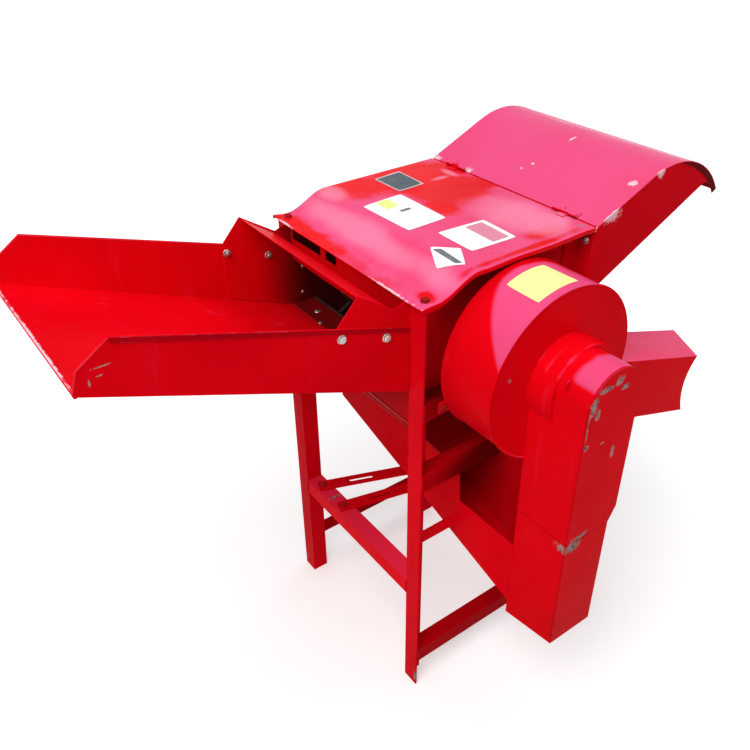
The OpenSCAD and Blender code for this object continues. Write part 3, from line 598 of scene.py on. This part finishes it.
def coverHeight(x):
    low, high = machine["lipZ"], machine["coverZ"]
    if x <= cover["stepFrom"]:
        return low
    if x >= cover["stepTo"]:
        return high
    share = (x - cover["stepFrom"]) / (cover["stepTo"] - cover["stepFrom"])
    return low + (high - low) * (1 - math.cos(math.pi * share)) / 2


def coverTopAt(x, y):
    inside = min(1.0, max(0.0, min(y - cover["front"], cover["back"] - y) / 30))
    calm = min(1.0, max(0.0, (cover["right"] - x) / 25))
    ripple = noise.noise(Vector((x, y, cover["seed"] * 10)) * cover["dentSize"] / 1000) * cover["dent"]
    height = coverHeight(x) + ripple * inside * calm
    for lift, wide, middle, run in cover["lipBends"]:
        height += lift * fall(x - cover["left"], wide) * fall(y - middle, run)
    if x > cover["buckleFrom"]:
        near = fall(y - cover["front"], cover["buckleWide"])
        height += cover["buckle"] * near * math.sin(x / cover["buckleWave"]) * calm * 0.6
    return height


def makeCover():
    turn, middle, stations = cover["foldRound"], cover["across"], cover["along"]
    edge = [(0, -cover["fold"]), (0, -cover["fold"] * 0.6)]
    for k in range(6):
        a = math.radians(18 * k)
        edge.append((turn * (1 - math.cos(a)), -turn * (1 - math.sin(a))))
    wide = cover["back"] - cover["front"] - 2 * turn
    spans = [cover["front"] + out for out, _ in edge]
    spans += [cover["front"] + turn + wide * k / middle for k in range(1, middle)]
    spans += [cover["back"] - out for out, _ in reversed(edge)]
    drops = [down for _, down in edge] + [0.0] * (middle - 1) + [down for _, down in reversed(edge)]
    rows = []
    for i in range(stations + 1):
        x = cover["left"] + (cover["right"] - cover["left"]) * (i / stations)
        rows.append([spot(x, y, coverTopAt(x, y) + drop) for y, drop in zip(spans, drops)])
    bm = bmesh.new()
    addSheet(bm, rows, mm(cover["thick"]))
    makePiece("cover_skin", bm, 40, coverRed, "cover", ["cover"])


makeCover()
print("cover made")


# Straw hood: straight sheet, rolled over at its far end
hood = {
    "start": 412, "tilt": 23.6, "straight": 153, "radius": 180, "drop": 59, "front": -2, "back": 482,
    "thick": 1.9, "dent": 0.8, "dentSize": 4.5, "hem": 2.8, "across": 56, "along": 84,
}
hood["bendX"] = hood["start"] + hood["straight"] * math.cos(math.radians(hood["tilt"]))
hood["bendZ"] = machine["coverZ"] + hood["straight"] * math.sin(math.radians(hood["tilt"]))
hood["midX"] = hood["bendX"] + hood["radius"] * math.sin(math.radians(hood["tilt"]))
hood["midZ"] = hood["bendZ"] - hood["radius"] * math.cos(math.radians(hood["tilt"]))


# Across and up at a share of the sheet's length, some way below its face
def hoodPoint(share, inset):
    tilt = math.radians(hood["tilt"])
    total = hood["straight"] + hood["radius"] * math.radians(hood["tilt"] + hood["drop"])
    run = share * total
    if run < hood["straight"]:
        x = hood["start"] + run * math.cos(tilt) + inset * math.sin(tilt)
        return x, machine["coverZ"] + run * math.sin(tilt) - inset * math.cos(tilt)
    turn = (run - hood["straight"]) / hood["radius"] - tilt
    reach = hood["radius"] - inset
    return hood["midX"] + reach * math.sin(turn), hood["midZ"] + reach * math.cos(turn)


def makeHood():
    stations, across = hood["along"], hood["across"]
    rows = []
    for i in range(stations + 1):
        line = []
        share = i / stations
        for j in range(across + 1):
            y = hood["front"] + (hood["back"] - hood["front"]) * j / across
            rim = min(1.0, min(j, across - j) / 4)
            place = Vector((share * 420, y, 77)) * hood["dentSize"] / 1000 * 3
            ripple = (0.5 + 0.5 * noise.noise(place)) * hood["dent"]
            x, z = hoodPoint(share, ripple * rim * math.sin(math.pi * min(1.0, share * 1.02)))
            line.append(spot(x, y, z))
        rows.append(line)
    bm = bmesh.new()
    addSheet(bm, rows, mm(hood["thick"]))
    tipX, tipZ = hoodPoint(0.995, hood["hem"] + 0.4)
    hem = straightLine(spot(tipX, hood["front"] + 1, tipZ), spot(tipX, hood["back"] - 1, tipZ), 12)
    addTube(bm, hem, lambda i: mm(hood["hem"] + 0.25 * uneven(i * 0.7, 0, 3)), 12)
    makePiece("hood_skin", bm, 40, hoodRed, nodes=["hood_top"])


makeHood()
print("hood made")


# Folded strip along the hinge line, and the folded edge round the hood's open end in a dark red that is
# painted shade
hoodTrim = {
    "stripLeft": 406.6, "stripRight": 415.4, "stripFront": 2, "stripWide": 476, "stripZ": 1044.6,
    "foldAt": 411.0, "foldRise": 0.30, "edgeFrom": 0.60, "edgeNarrow": 3.0, "edgeWide": 13.0,
}


def makeHingeStrip():
    rows = []
    for i in range(6):
        x = hoodTrim["stripLeft"] + (hoodTrim["stripRight"] - hoodTrim["stripLeft"]) * i / 5
        z = hoodTrim["stripZ"] + max(0.0, x - hoodTrim["foldAt"]) * hoodTrim["foldRise"]
        across = [hoodTrim["stripFront"] + hoodTrim["stripWide"] * j / 60 for j in range(61)]
        rows.append([spot(x, y, z) for y in across])
    bm = bmesh.new()
    addSheet(bm, rows, mm(1.0))
    makePiece("hinge_strip", bm, 40, frameRed)


def makeHoodEdges():
    bm = bmesh.new()
    narrow = hoodTrim["edgeNarrow"]
    for y in (hood["front"] + 0.2, hood["back"] - 1.4):
        rows = []
        for i in range(49):
            share = hoodTrim["edgeFrom"] + (1 - hoodTrim["edgeFrom"]) * i / 48
            wide = narrow + (hoodTrim["edgeWide"] - narrow) * math.sin(min(1.0, i / 30) * math.pi / 2)
            line = []
            for j in range(5):
                x, z = hoodPoint(share, hood["thick"] + wide * j / 4)
                line.append(spot(x, y, z))
            rows.append(line)
        addSheet(bm, rows, mm(1.2))
    # the edge strips' dark red is painted shade
    makePiece("hood_edges", bm, 40, insideShadedRed)


makeHingeStrip()
makeHoodEdges()


# Bolts with washers, chamfered heads and thread ends
bolt = {
    "shank": 4.0, "head": 7.5, "headHeight": 5.5, "washer": 8.3, "washerThick": 1.4, "threadOut": 2.0,
    "sides": 20, "screwLength": 22.0, "screwTip": 3.2, "screwThread": 3.65,
}


# Washer and six-sided head on a face
def addHead(bm, face, axis, turned):
    wide, thick = bolt["washer"], bolt["washerThick"]
    addTurned(bm, face, axis, [(0, wide), (thick * 0.6, wide), (thick, wide - 0.6)], 28)
    wide, height = bolt["head"], bolt["headHeight"] - thick
    steps = [(0, wide), (height * 0.80, wide), (height, wide * 0.84), (height * 1.03, wide * 0.70)]
    addTurned(bm, face + axis * mm(thick), axis, steps, 6, turned)


def addBolt(bm, headFace, nutFace, turned):
    axis = (headFace - nutFace).normalized()
    addHead(bm, headFace, axis, turned)
    addHead(bm, nutFace, -axis, turned + 0.4)
    shank, height = bolt["shank"], bolt["headHeight"]
    steps = [((nutFace - headFace).length * -1000, shank), (0, shank)]
    steps += [(height + k * 0.4, shank * (0.90 if k % 2 else 1.0)) for k in range(5)]
    steps.append((height + bolt["threadOut"] + 0.2, shank * 0.80))
    addTurned(bm, nutFace, -axis, steps, bolt["sides"])


def makeBolts(name, node, faces, finish):
    bm = bmesh.new()
    random.seed(len(name))
    for headFace, nutFace in faces:
        addBolt(bm, spot(*headFace), spot(*nutFace), random.uniform(0, 1.0))
    makePiece(name, bm, 28, finish, "frame", [node])


def makeCoverScrews():
    bm = bmesh.new()
    shank, end, up = bolt["shank"], -bolt["screwLength"], Vector((0, 0, 1))
    steps = [(end, bolt["screwTip"]), (end + 1.0, shank)]
    steps += [(end + 2.0 + 0.6 * k, shank if k % 2 else bolt["screwThread"]) for k in range(12)]
    steps += [(-8.0, shank), (1.0, shank)]
    for y in (18, 462):
        foot = spot(14, y, machine["lipZ"])
        addHead(bm, foot, up, 0.3 + y)
        addTurned(bm, foot, up, steps, bolt["sides"])
    makePiece("cover_screws_painted", bm, 28, boltPainted, "cover", ["cover_screws"])


# Feed tray: where its floor, walls and rolled edges run
tray = {
    "start": -3, "floorZ": 825, "run": 563, "slope": math.tan(math.radians(22.2)),
    "wallIn": 135, "wallOut": 97, "corner": 62, "cornerDrop": 25.6, "front": 38, "back": 442,
    "lip": 3.2, "hem": 1.5, "hemRise": 6, "hemTop": 36, "hemLean": 10, "hemEnd": -4,
}
tray["tipX"] = tray["start"] - tray["run"]
tray["tipZ"] = tray["floorZ"] + tray["run"] * tray["slope"]
cornerZ = tray["tipZ"] + tray["wallOut"] - tray["cornerDrop"]
tray["rise"] = (cornerZ - tray["floorZ"] - tray["wallIn"]) / (tray["run"] - tray["corner"])


# Height of the upper edge of the tray's walls
def trayTop(x):
    return tray["floorZ"] + tray["wallIn"] + (tray["start"] - x) * tray["rise"]


# Rows of bolts: name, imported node, finish, and the faces under each head and each nut
boltRows = [
    ("tray_bolts_zinc", "tray_bolts", boltZinc,
     [((x, head, trayTop(x) - 19), (x, nut, trayTop(x) - 19))
      for x in (-142, -52) for head, nut in ((38, 42), (442, 438))]),
    ("hood_bolts_zinc", "hood_bolts", boltZinc,
     [((406, y, z), (412, y, z)) for y in (18, 462) for z in (927, 1014.7)]),
    ("fan_bolts_painted", "fan_bolts", boltPainted,
     [((x, -2, 790), (x, 4, 790)) for x in (46, 111, 299)]),
    ("bearing_bolts_zinc", "bearing_bolts", boltZinc,
     [((x, y, 808), (x, y, 826.3)) for x in (161, 261) for y in (19, 461)]),
    ("bar_bolts_zinc", "bar_bolts", boltPainted,
     [((x, y, 318), (x, y, 328)) for x, y in ((20, 398), (390, 256), (20, 308), (390, 216))]),
]
for boltName, boltNode, boltFinish, boltFaces in boltRows:
    makeBolts(boltName, boltNode, boltFaces, boltFinish)
makeCoverScrews()
print("bolts made")


# Hems and rolled edges of the sheet metal
def makeTrayHems():
    bm = bmesh.new()
    low = tray["hem"] + 0.2
    tipX, tipZ, end = tray["tipX"], tray["tipZ"], tray["hemEnd"]
    corner = tipX + tray["corner"]
    for side in (tray["front"] + 1, tray["back"] - 1):
        line = brokenLine([
            spot(tipX + low, side, tipZ + tray["hemRise"]),
            spot(tipX + tray["hemLean"] + low, side, tipZ + tray["hemTop"]),
            spot(corner, side, trayTop(corner) - low), spot(end, side, trayTop(end) - low)], 9)
        addTube(bm, line, lambda i: mm(tray["hem"] + 0.12 * uneven(i * 0.4, side, 1)), 8)
    lipX = tipX + (tray["lip"] + 0.6)
    lip = straightLine(spot(lipX, tray["front"] + 1, tipZ), spot(lipX, tray["back"] - 1, tipZ), 10)
    lip = [p + Vector((0, 0, -mm(1.2) + 0.0004 * noise.noise(p * 9))) for p in lip]
    addTube(bm, lip, lambda i: mm(tray["lip"]), 12)
    makePiece("tray_hems", bm, 50, hemRed)


hemRed = redPaint("hem_red", {
    "red": (0.84, 0.030, 0.060), "deep": (0.70, 0.004, 0.012), "wave": 0.2,
    "whiteChips": [(-566, 200, 1056, 6, 150, 2.2), (-566, 410, 1056, 5, 30, 2.0)],
})
makeTrayHems()


# Rolled rims of the fan casing, from one angle round to the other: place across and radius of each
fanCase = {
    "radius": 170, "rimOut": 0.4, "from": -13.0, "to": 297.0, "steps": 150,
    "rims": [(-126.5, 2.6), (-2.2, 1.8)],
}


def makeFanRims():
    bm = bmesh.new()
    first, last, steps = fanCase["from"], fanCase["to"], fanCase["steps"]
    for y, radius in fanCase["rims"]:
        line = [roundShaft(fanCase["radius"] + fanCase["rimOut"], first + (last - first) * k / steps, y)
                for k in range(steps + 1)]
        addTube(bm, line, lambda i: mm(radius))
    makePiece("fan_rims", bm, 50, fanRed)


makeFanRims()


# Seams round the front of the suction duct, and the lap of its upper part over the lower one
duct = {
    "left": 137, "right": 265, "rightLow": 249, "front": -254, "back": -128, "topZ": 883, "seamZ": 583,
    "frontFoot": 309, "taper": 32, "seam": 1.7, "inset": 0.6, "lapOut": 0.2,
}


def makeDuctSeams():
    bm = bmesh.new()
    inset, out, seamZ, topZ = duct["inset"], duct["lapOut"], duct["seamZ"], duct["topZ"]
    left, right, rightLow = duct["left"] + inset, duct["right"] - inset, duct["rightLow"] - inset
    middle = (duct["left"] + duct["right"]) / 2
    radius = (duct["right"] - duct["left"]) / 2 - inset
    y = duct["front"] + 2.0
    arch = straightLine(spot(left, y, seamZ), spot(left, y, topZ), 8)
    for k in range(1, 48):
        a = math.pi - math.pi * k / 48
        arch.append(spot(middle + radius * math.cos(a), y, topZ + radius * math.sin(a)))
    arch += straightLine(spot(right, y, topZ), spot(right, y, seamZ + duct["taper"]), 8)
    arch.append(spot(rightLow, y, seamZ))
    addTube(bm, arch, lambda i: mm(duct["seam"] + 0.25 * uneven(i * 0.35, 2, 9)), 8)
    for x in (left, rightLow):
        line = straightLine(spot(x, y, duct["frontFoot"] + 1), spot(x, y, seamZ - 0.3), 8)
        addTube(bm, line, lambda i: mm(duct["seam"]), 8)
    corners = [(duct["left"] - out, duct["back"] - 2), (duct["left"] - out, y),
               (duct["rightLow"] + out, y), (duct["rightLow"] + out, duct["back"] - 2)]
    lap = brokenLine([spot(x, cornerY, seamZ) for x, cornerY in corners], 6)
    addTube(bm, lap, lambda i: mm(1.3 + 0.5 * abs(math.sin(i * 1.3))), 8)
    makePiece("duct_seams", bm, 50, weldRed)


makeDuctSeams()
print("hems and seams made")


# Weld beads where rails meet legs, and tack welds: their length, and heights of those on the walls
bead = {
    "radius": 2.0, "thin": 1.8, "ripple": 3.0, "out": 0.4, "seed": 12,
    "tack": 1.6, "tackTall": 12, "wallTacks": (700, 730, 770, 900, 950, 1000),
}


def addBead(bm, start, end, radius):
    line = straightLine(spot(*start), spot(*end), 0.9)
    jitter = random.uniform(0, 50)
    line = [p + Vector((uneven(i * 0.2, jitter, 0), uneven(0, i * 0.2, jitter), 0)) * 0.0004
            for i, p in enumerate(line)]
    last = len(line) - 1

    def size(i):
        ends = min(1.0, 0.45 + min(i, last - i) * 0.25)
        return mm(radius * ends * (0.82 + 0.30 * abs(math.sin(i * 0.9 / bead["ripple"] * math.pi))))
    addTube(bm, line, size, 8)


def makeBeads():
    random.seed(bead["seed"])
    bm = bmesh.new()
    length, depth = machine["frameLength"], machine["frameDepth"]
    leg, thick, radius = machine["angleLeg"], machine["angleThick"], bead["radius"]
    for top in (machine["bottomRail"], machine["middleRail"], machine["bearingRail"]):
        for y in (-bead["out"], depth + bead["out"]):
            for x in (thick, length - thick):
                addBead(bm, (x, y, top - leg + 2), (x, y, top - 2), radius)
        for y in (leg - thick, depth - leg + thick):
            for x0, x1 in ((thick + 1, leg - 3), (length - leg + 3, length - thick - 1)):
                addBead(bm, (x0, y, top - 0.3), (x1, y, top - 0.3), bead["thin"])
    for x in (-bead["out"], length + bead["out"]):
        for y in (leg, depth - leg):
            addBead(bm, (x, y, machine["sideRail"] - leg + 2), (x, y, machine["sideRail"] - 2), radius)
    # tack welds of the throat cheeks, the walls and the chute
    tall, out = bead["tackTall"], bead["out"]
    tacks = [(x, leg - thick - 0.2, 850, tall) for x in (6, 30)]
    tacks += [(x, leg + 0.2, z, tall) for z in bead["wallTacks"] for x in (leg + out, length - leg - out)]
    tacks += [(x, duct["back"] - out, z, tall + 4) for x in (137, 249) for z in (360, 440)]
    for x, y, low, tall in tacks:
        addBead(bm, (x, y, low), (x, y, low + tall), bead["tack"])
    makePiece("weld_beads", bm, 60, weldRed, "frame")


makeBeads()


# Guard plate under the cover's lip, with two windows left open
guard = {
    "x": 5.0, "low": 930, "high": 1009.5, "front": 42.5, "back": 437.5, "thick": 1.5, "bow": 2.2,
    "rows": (946, 962), "windowLow": 979, "windowHigh": 1004, "windows": [(272, 311), (327, 432)],
}
guardRed = plainRed("guard_red", (0.62, 0.002, 0.006), (0.40, 0.001, 0.004), 0.4, 0.6)


def makeGuard():
    front, windows = guard["front"], guard["windows"]
    ys = [front + (windows[0][0] - front) * k / 12 for k in range(12)]
    ys += [a + (b - a) * k / 3 for a, b in windows for k in range(4)] + [guard["back"]]
    zs = [guard["low"], *guard["rows"], guard["windowLow"], guard["windowHigh"], guard["high"]]
    bm = bmesh.new()

    def corner(y, z):
        bow = guard["bow"] * ((guard["high"] - z) / (guard["high"] - guard["low"])) ** 2
        return bm.verts.new(spot(guard["x"] + bow + 0.5 * noise.noise(Vector((y, z, 9)) / 40), y, z))
    grid = [[corner(y, z) for z in zs] for y in ys]
    for i in range(len(ys) - 1):
        beside = any(a <= ys[i] and ys[i + 1] <= b for a, b in windows)
        for j in range(len(zs) - 1):
            if not (beside and zs[j] == guard["windowLow"]):
                bm.faces.new((grid[i][j], grid[i + 1][j], grid[i + 1][j + 1], grid[i][j + 1]))
    loose = [v for v in bm.verts if not v.link_faces]
    bmesh.ops.delete(bm, geom=loose, context="VERTS")
    bmesh.ops.solidify(bm, geom=bm.faces[:], thickness=mm(guard["thick"]))
    makePiece("throat_guard", bm, 40, guardRed)


makeGuard()


# Folded edges outside the tray walls, in a darker red that is painted shade under their top edge
fold = {"out": 0.9, "wave": 0.25, "depths": (0.4, 3, 6, 9), "thick": 0.8}
foldShadedRed = plainRed("fold_red", (0.48, 0.001, 0.007), (0.34, 0.001, 0.005), edgeWearAndHighlight=0.8)


def makeTrayFolds():
    bm = bmesh.new()
    corner = tray["tipX"] + tray["corner"]
    for y, way in ((tray["front"], -1), (tray["back"], 1)):
        rows = []
        for i in range(61):
            x = corner + (tray["hemEnd"] - corner) * i / 60
            face = y + way * fold["out"] + fold["wave"] * uneven(x / 25, y, 2) * way
            rows.append([spot(x, face, trayTop(x) - depth) for depth in fold["depths"]])
        if way > 0:
            rows = [line[::-1] for line in rows]
        addSheet(bm, rows, mm(fold["thick"]))
    makePiece("tray_edge_folds", bm, 40, foldShadedRed)


makeTrayFolds()


# Stiffening ribs pressed into the sloping left sheet of the hopper
rib = {
    "radius": 2.4, "shares": (0.16, 0.30, 0.47, 0.66), "top": (4, 745), "foot": (137, 563),
    "from": 48, "to": 432,
}


def makeRibs():
    bm = bmesh.new()
    (topX, topZ), (footX, footZ) = rib["top"], rib["foot"]
    for share in rib["shares"]:
        x, z = topX + (footX - topX) * share, topZ + (footZ - topZ) * share
        line = straightLine(spot(x, rib["from"], z), spot(x, rib["to"], z), 12)
        last = len(line) - 1
        addTube(bm, line, lambda i: mm(rib["radius"] * min(1.0, 0.3 + min(i, last - i) * 0.35)))
    makePiece("hopper_ribs", bm, 60, hopperShadedRed)


makeRibs()


# Small round rivets inside the throat, and the clip on the side of the duct
rivets = {
    "heads": [((26.5, 438, 908), (0, -1, 0), 5), ((22.3, 438, 849), (0, -1, 0), 4),
              ((19.5, 379, 827.6), (0, 0, 1), 6.5), ((-1, 336, 827.6), (0, 0, 1), 4.5),
              ((26.5, 42, 908), (0, 1, 0), 5), ((22.3, 42, 849), (0, 1, 0), 4)],
    "clip": (137, -204, 915), "clipRadius": 2.0,
}


def makeRivets():
    bm = bmesh.new()
    for place, axis, radius in rivets["heads"]:
        steps = [(-0.5, radius * 0.98), (0.3, radius)]
        for k in range(1, 6):
            a = math.radians(15 * k)
            steps.append((0.3 + radius * 0.5 * math.sin(a), radius * math.cos(a)))
        addTurned(bm, spot(*place), Vector(axis), steps, 24)
    makePiece("throat_rivets", bm, 50, boltZinc, "frame")


def makeDuctClip():
    bm = bmesh.new()
    x, y, z = rivets["clip"]
    line = [spot(x + 1, y, z - 9)]
    for k in range(9):
        a = math.radians(-80 + 20 * k)
        line.append(spot(x - 5 * math.cos(a), y, z + 6 * math.sin(a)))
    line.append(spot(x + 3, y, z + 9))
    addTube(bm, line, lambda i: mm(rivets["clipRadius"]))
    makePiece("duct_clip", bm, 50, ductRed)


makeRivets()
makeDuctClip()
print("welds, ribs and rivets made")


# Blank stickers and a blank dark plate: corners on the cover in millimetres, seen from above
coverSigns = {
    "lift": 0.5, "thick": 0.35,
    "signs": [
        ("cover_sheet_wide", [(119, 346), (218, 352), (215, 203), (120, 199)], whiteFilm, 0.0),
        ("cover_sheet_lime", [(150, 344), (181, 346), (178, 306), (149, 304)], limePrint, 0.3),
        ("cover_sheet_bar", [(164, 286), (188, 286), (188, 277), (164, 277)], greyPrint, 0.3),
        ("cover_card", [(157, 160), (265, 153), (261, 59), (156, 63)], whiteFilm, 0.0),
        ("cover_card_pink", [(214, 148), (254, 146), (251, 68), (212, 69)], pinkPrint, 0.3),
        ("cover_diamond", [(108, 122), (148, 84), (112, 30), (78, 66)], whiteFilm, 0.0),
        ("cover_diamond_bar", [(106, 112), (118, 102), (112, 38), (103, 46)], greyPrint, 0.3),
        ("cover_plate_rim", [(224, 452), (295, 458), (292, 366), (225, 364)], plateRim, 0.0),
        ("cover_plate_dark", [(228, 447), (291, 452), (288, 371), (229, 369)], darkPlate, 0.4),
    ],
}


# Point inside four corners, from 0 to 1 each way
def insideCorners(corners, u, v):
    (ax, ay), (bx, by), (cx, cy), (dx, dy) = corners
    x = (ax * (1 - u) + bx * u) * (1 - v) + (dx * (1 - u) + cx * u) * v
    y = (ay * (1 - u) + by * u) * (1 - v) + (dy * (1 - u) + cy * u) * v
    return x, y


def makeSign(name, corners, finish, raised, surface, body, steps=18):
    rows = []
    for i in range(steps + 1):
        line = []
        for j in range(steps + 1):
            # corners slightly rounded
            u, v = i / steps, j / steps
            pull = 0.012 * (abs(2 * u - 1) * abs(2 * v - 1)) ** 6
            u, v = u + (0.5 - u) * pull * 2, v + (0.5 - v) * pull * 2
            line.append(surface(*insideCorners(corners, u, v), raised))
        rows.append(line)
    bm = bmesh.new()
    addSheet(bm, rows, mm(coverSigns["thick"]))
    makePiece(name, bm, 40, finish, body)


def onCover(x, y, raised):
    return spot(x, y, coverTopAt(x, y) + coverSigns["lift"] + raised)


for signName, signCorners, signFinish, signRaised in coverSigns["signs"]:
    makeSign(signName, signCorners, signFinish, signRaised, onCover, "cover")


# Blank yellow sheet stuck round the fan casing: angles in degrees, depths in millimetres
fanSign = {"corners": [(111, -33), (111.5, -111), (78, -108), (79.5, -30)], "lift": 0.5, "buckle": 0.25}


def onFan(angle, y, raised):
    reach = fanCase["radius"] + fanSign["lift"] + raised + fanSign["buckle"] * uneven(angle / 9, y / 30, 5)
    return roundShaft(reach, angle, y)


makeSign("fan_sheet_yellow", fanSign["corners"], yellowFilm, 0.0, onFan, "frame", 24)
print("blank signs made")


# Floor, light and camera
studio = {
    "floorSize": 24.0, "floorColour": (0.80, 0.80, 0.80), "floorLift": 0.42, "farLift": 0.80,
    "nearBy": 0.7, "farOff": 1.9, "skyColour": (0.96, 0.98, 1.0), "skyFill": 0.34,
    "aim": (0, 0, 0.75),
    "lamps": [
        ("key", (-1.9, -1.0, 3.4), 2.4, 86.0, (1.0, 0.99, 0.98)),
        ("top", (0.9, 0.3, 3.5), 3.0, 32.0, (0.98, 0.99, 1.0)),
        ("side", (2.8, -2.2, 1.6), 1.8, 8.0, (1.0, 1.0, 1.0)),
    ],
    "camera": {
        "place": (-745.1, -898.9, 1674.9), "yaw": 35.51, "pitch": 34.26, "roll": -0.82, "lens": 38.85},
}


def makeFloor():
    half = studio["floorSize"] / 2
    bm = bmesh.new()
    bm.faces.new([bm.verts.new((x * half, y * half, 0)) for x, y in ((-1, -1), (1, -1), (1, 1), (-1, 1))])
    floor = finishMesh("studio_floor", bm, 35)
    board = Board(bpy.data.materials.new("studio_floor"), "BsdfDiffuse")
    board.give("Color", studio["floorColour"])
    # the floor turns plain white away from the machine
    away = board.vector("LENGTH", board.place)
    lifted = board.between(away, studio["nearBy"], studio["farOff"], studio["floorLift"], studio["farLift"])
    lift = board.join("Emission", (1.0, 1.0, 1.0), board.times(board.seenDirectly(), lifted))
    board.feed(board.surface, board.join("AddShader", board.shader.outputs[0], lift))
    floor.data.materials.append(board.owner)


def makeWorld():
    world = bpy.data.worlds.new("studio")
    bpy.context.scene.world = world
    board = Board(world, "Background", "OutputWorld")
    board.give("Color", studio["skyColour"])
    board.give("Strength", studio["skyFill"])
    white = board.join("Background", (1.0, 1.0, 1.0), 1.0)
    shown = board.join("MixShader", board.seenDirectly(), board.shader.outputs[0], white)
    board.feed(board.surface, shown)


def makeLamps():
    for name, place, size, power, colour in studio["lamps"]:
        data = bpy.data.lights.new(name, "AREA")
        data.shape, data.size, data.energy, data.color = "DISK", size, power, colour
        lamp = bpy.data.objects.new(name, data)
        bpy.context.scene.collection.objects.link(lamp)
        lamp.location = place
        aim = Vector(studio["aim"]) - Vector(place)
        lamp.rotation_euler = aim.to_track_quat("-Z", "Y").to_euler()


def makeCamera():
    look = studio["camera"]
    yaw, pitch, roll = (math.radians(look[k]) for k in ("yaw", "pitch", "roll"))
    ahead = Vector((math.sin(yaw) * math.cos(pitch), math.cos(yaw) * math.cos(pitch), -math.sin(pitch)))
    right = ahead.cross(Vector((0, 0, 1))).normalized()
    up = right.cross(ahead)
    across = right * math.cos(roll) + up * math.sin(roll)
    above = up * math.cos(roll) - right * math.sin(roll)
    data = bpy.data.cameras.new("camera")
    data.lens = look["lens"]
    data.sensor_width = 36.0
    data.clip_end = 60.0
    eye = bpy.data.objects.new("camera", data)
    bpy.context.scene.collection.objects.link(eye)
    turn = Matrix((across, above, -ahead)).transposed().to_4x4()
    eye.matrix_world = Matrix.Translation(spot(*look["place"])) @ turn
    bpy.context.scene.camera = eye


makeFloor()
makeWorld()
makeLamps()
makeCamera()
bpy.context.scene.view_settings.view_transform = "Standard"
print("studio ready")
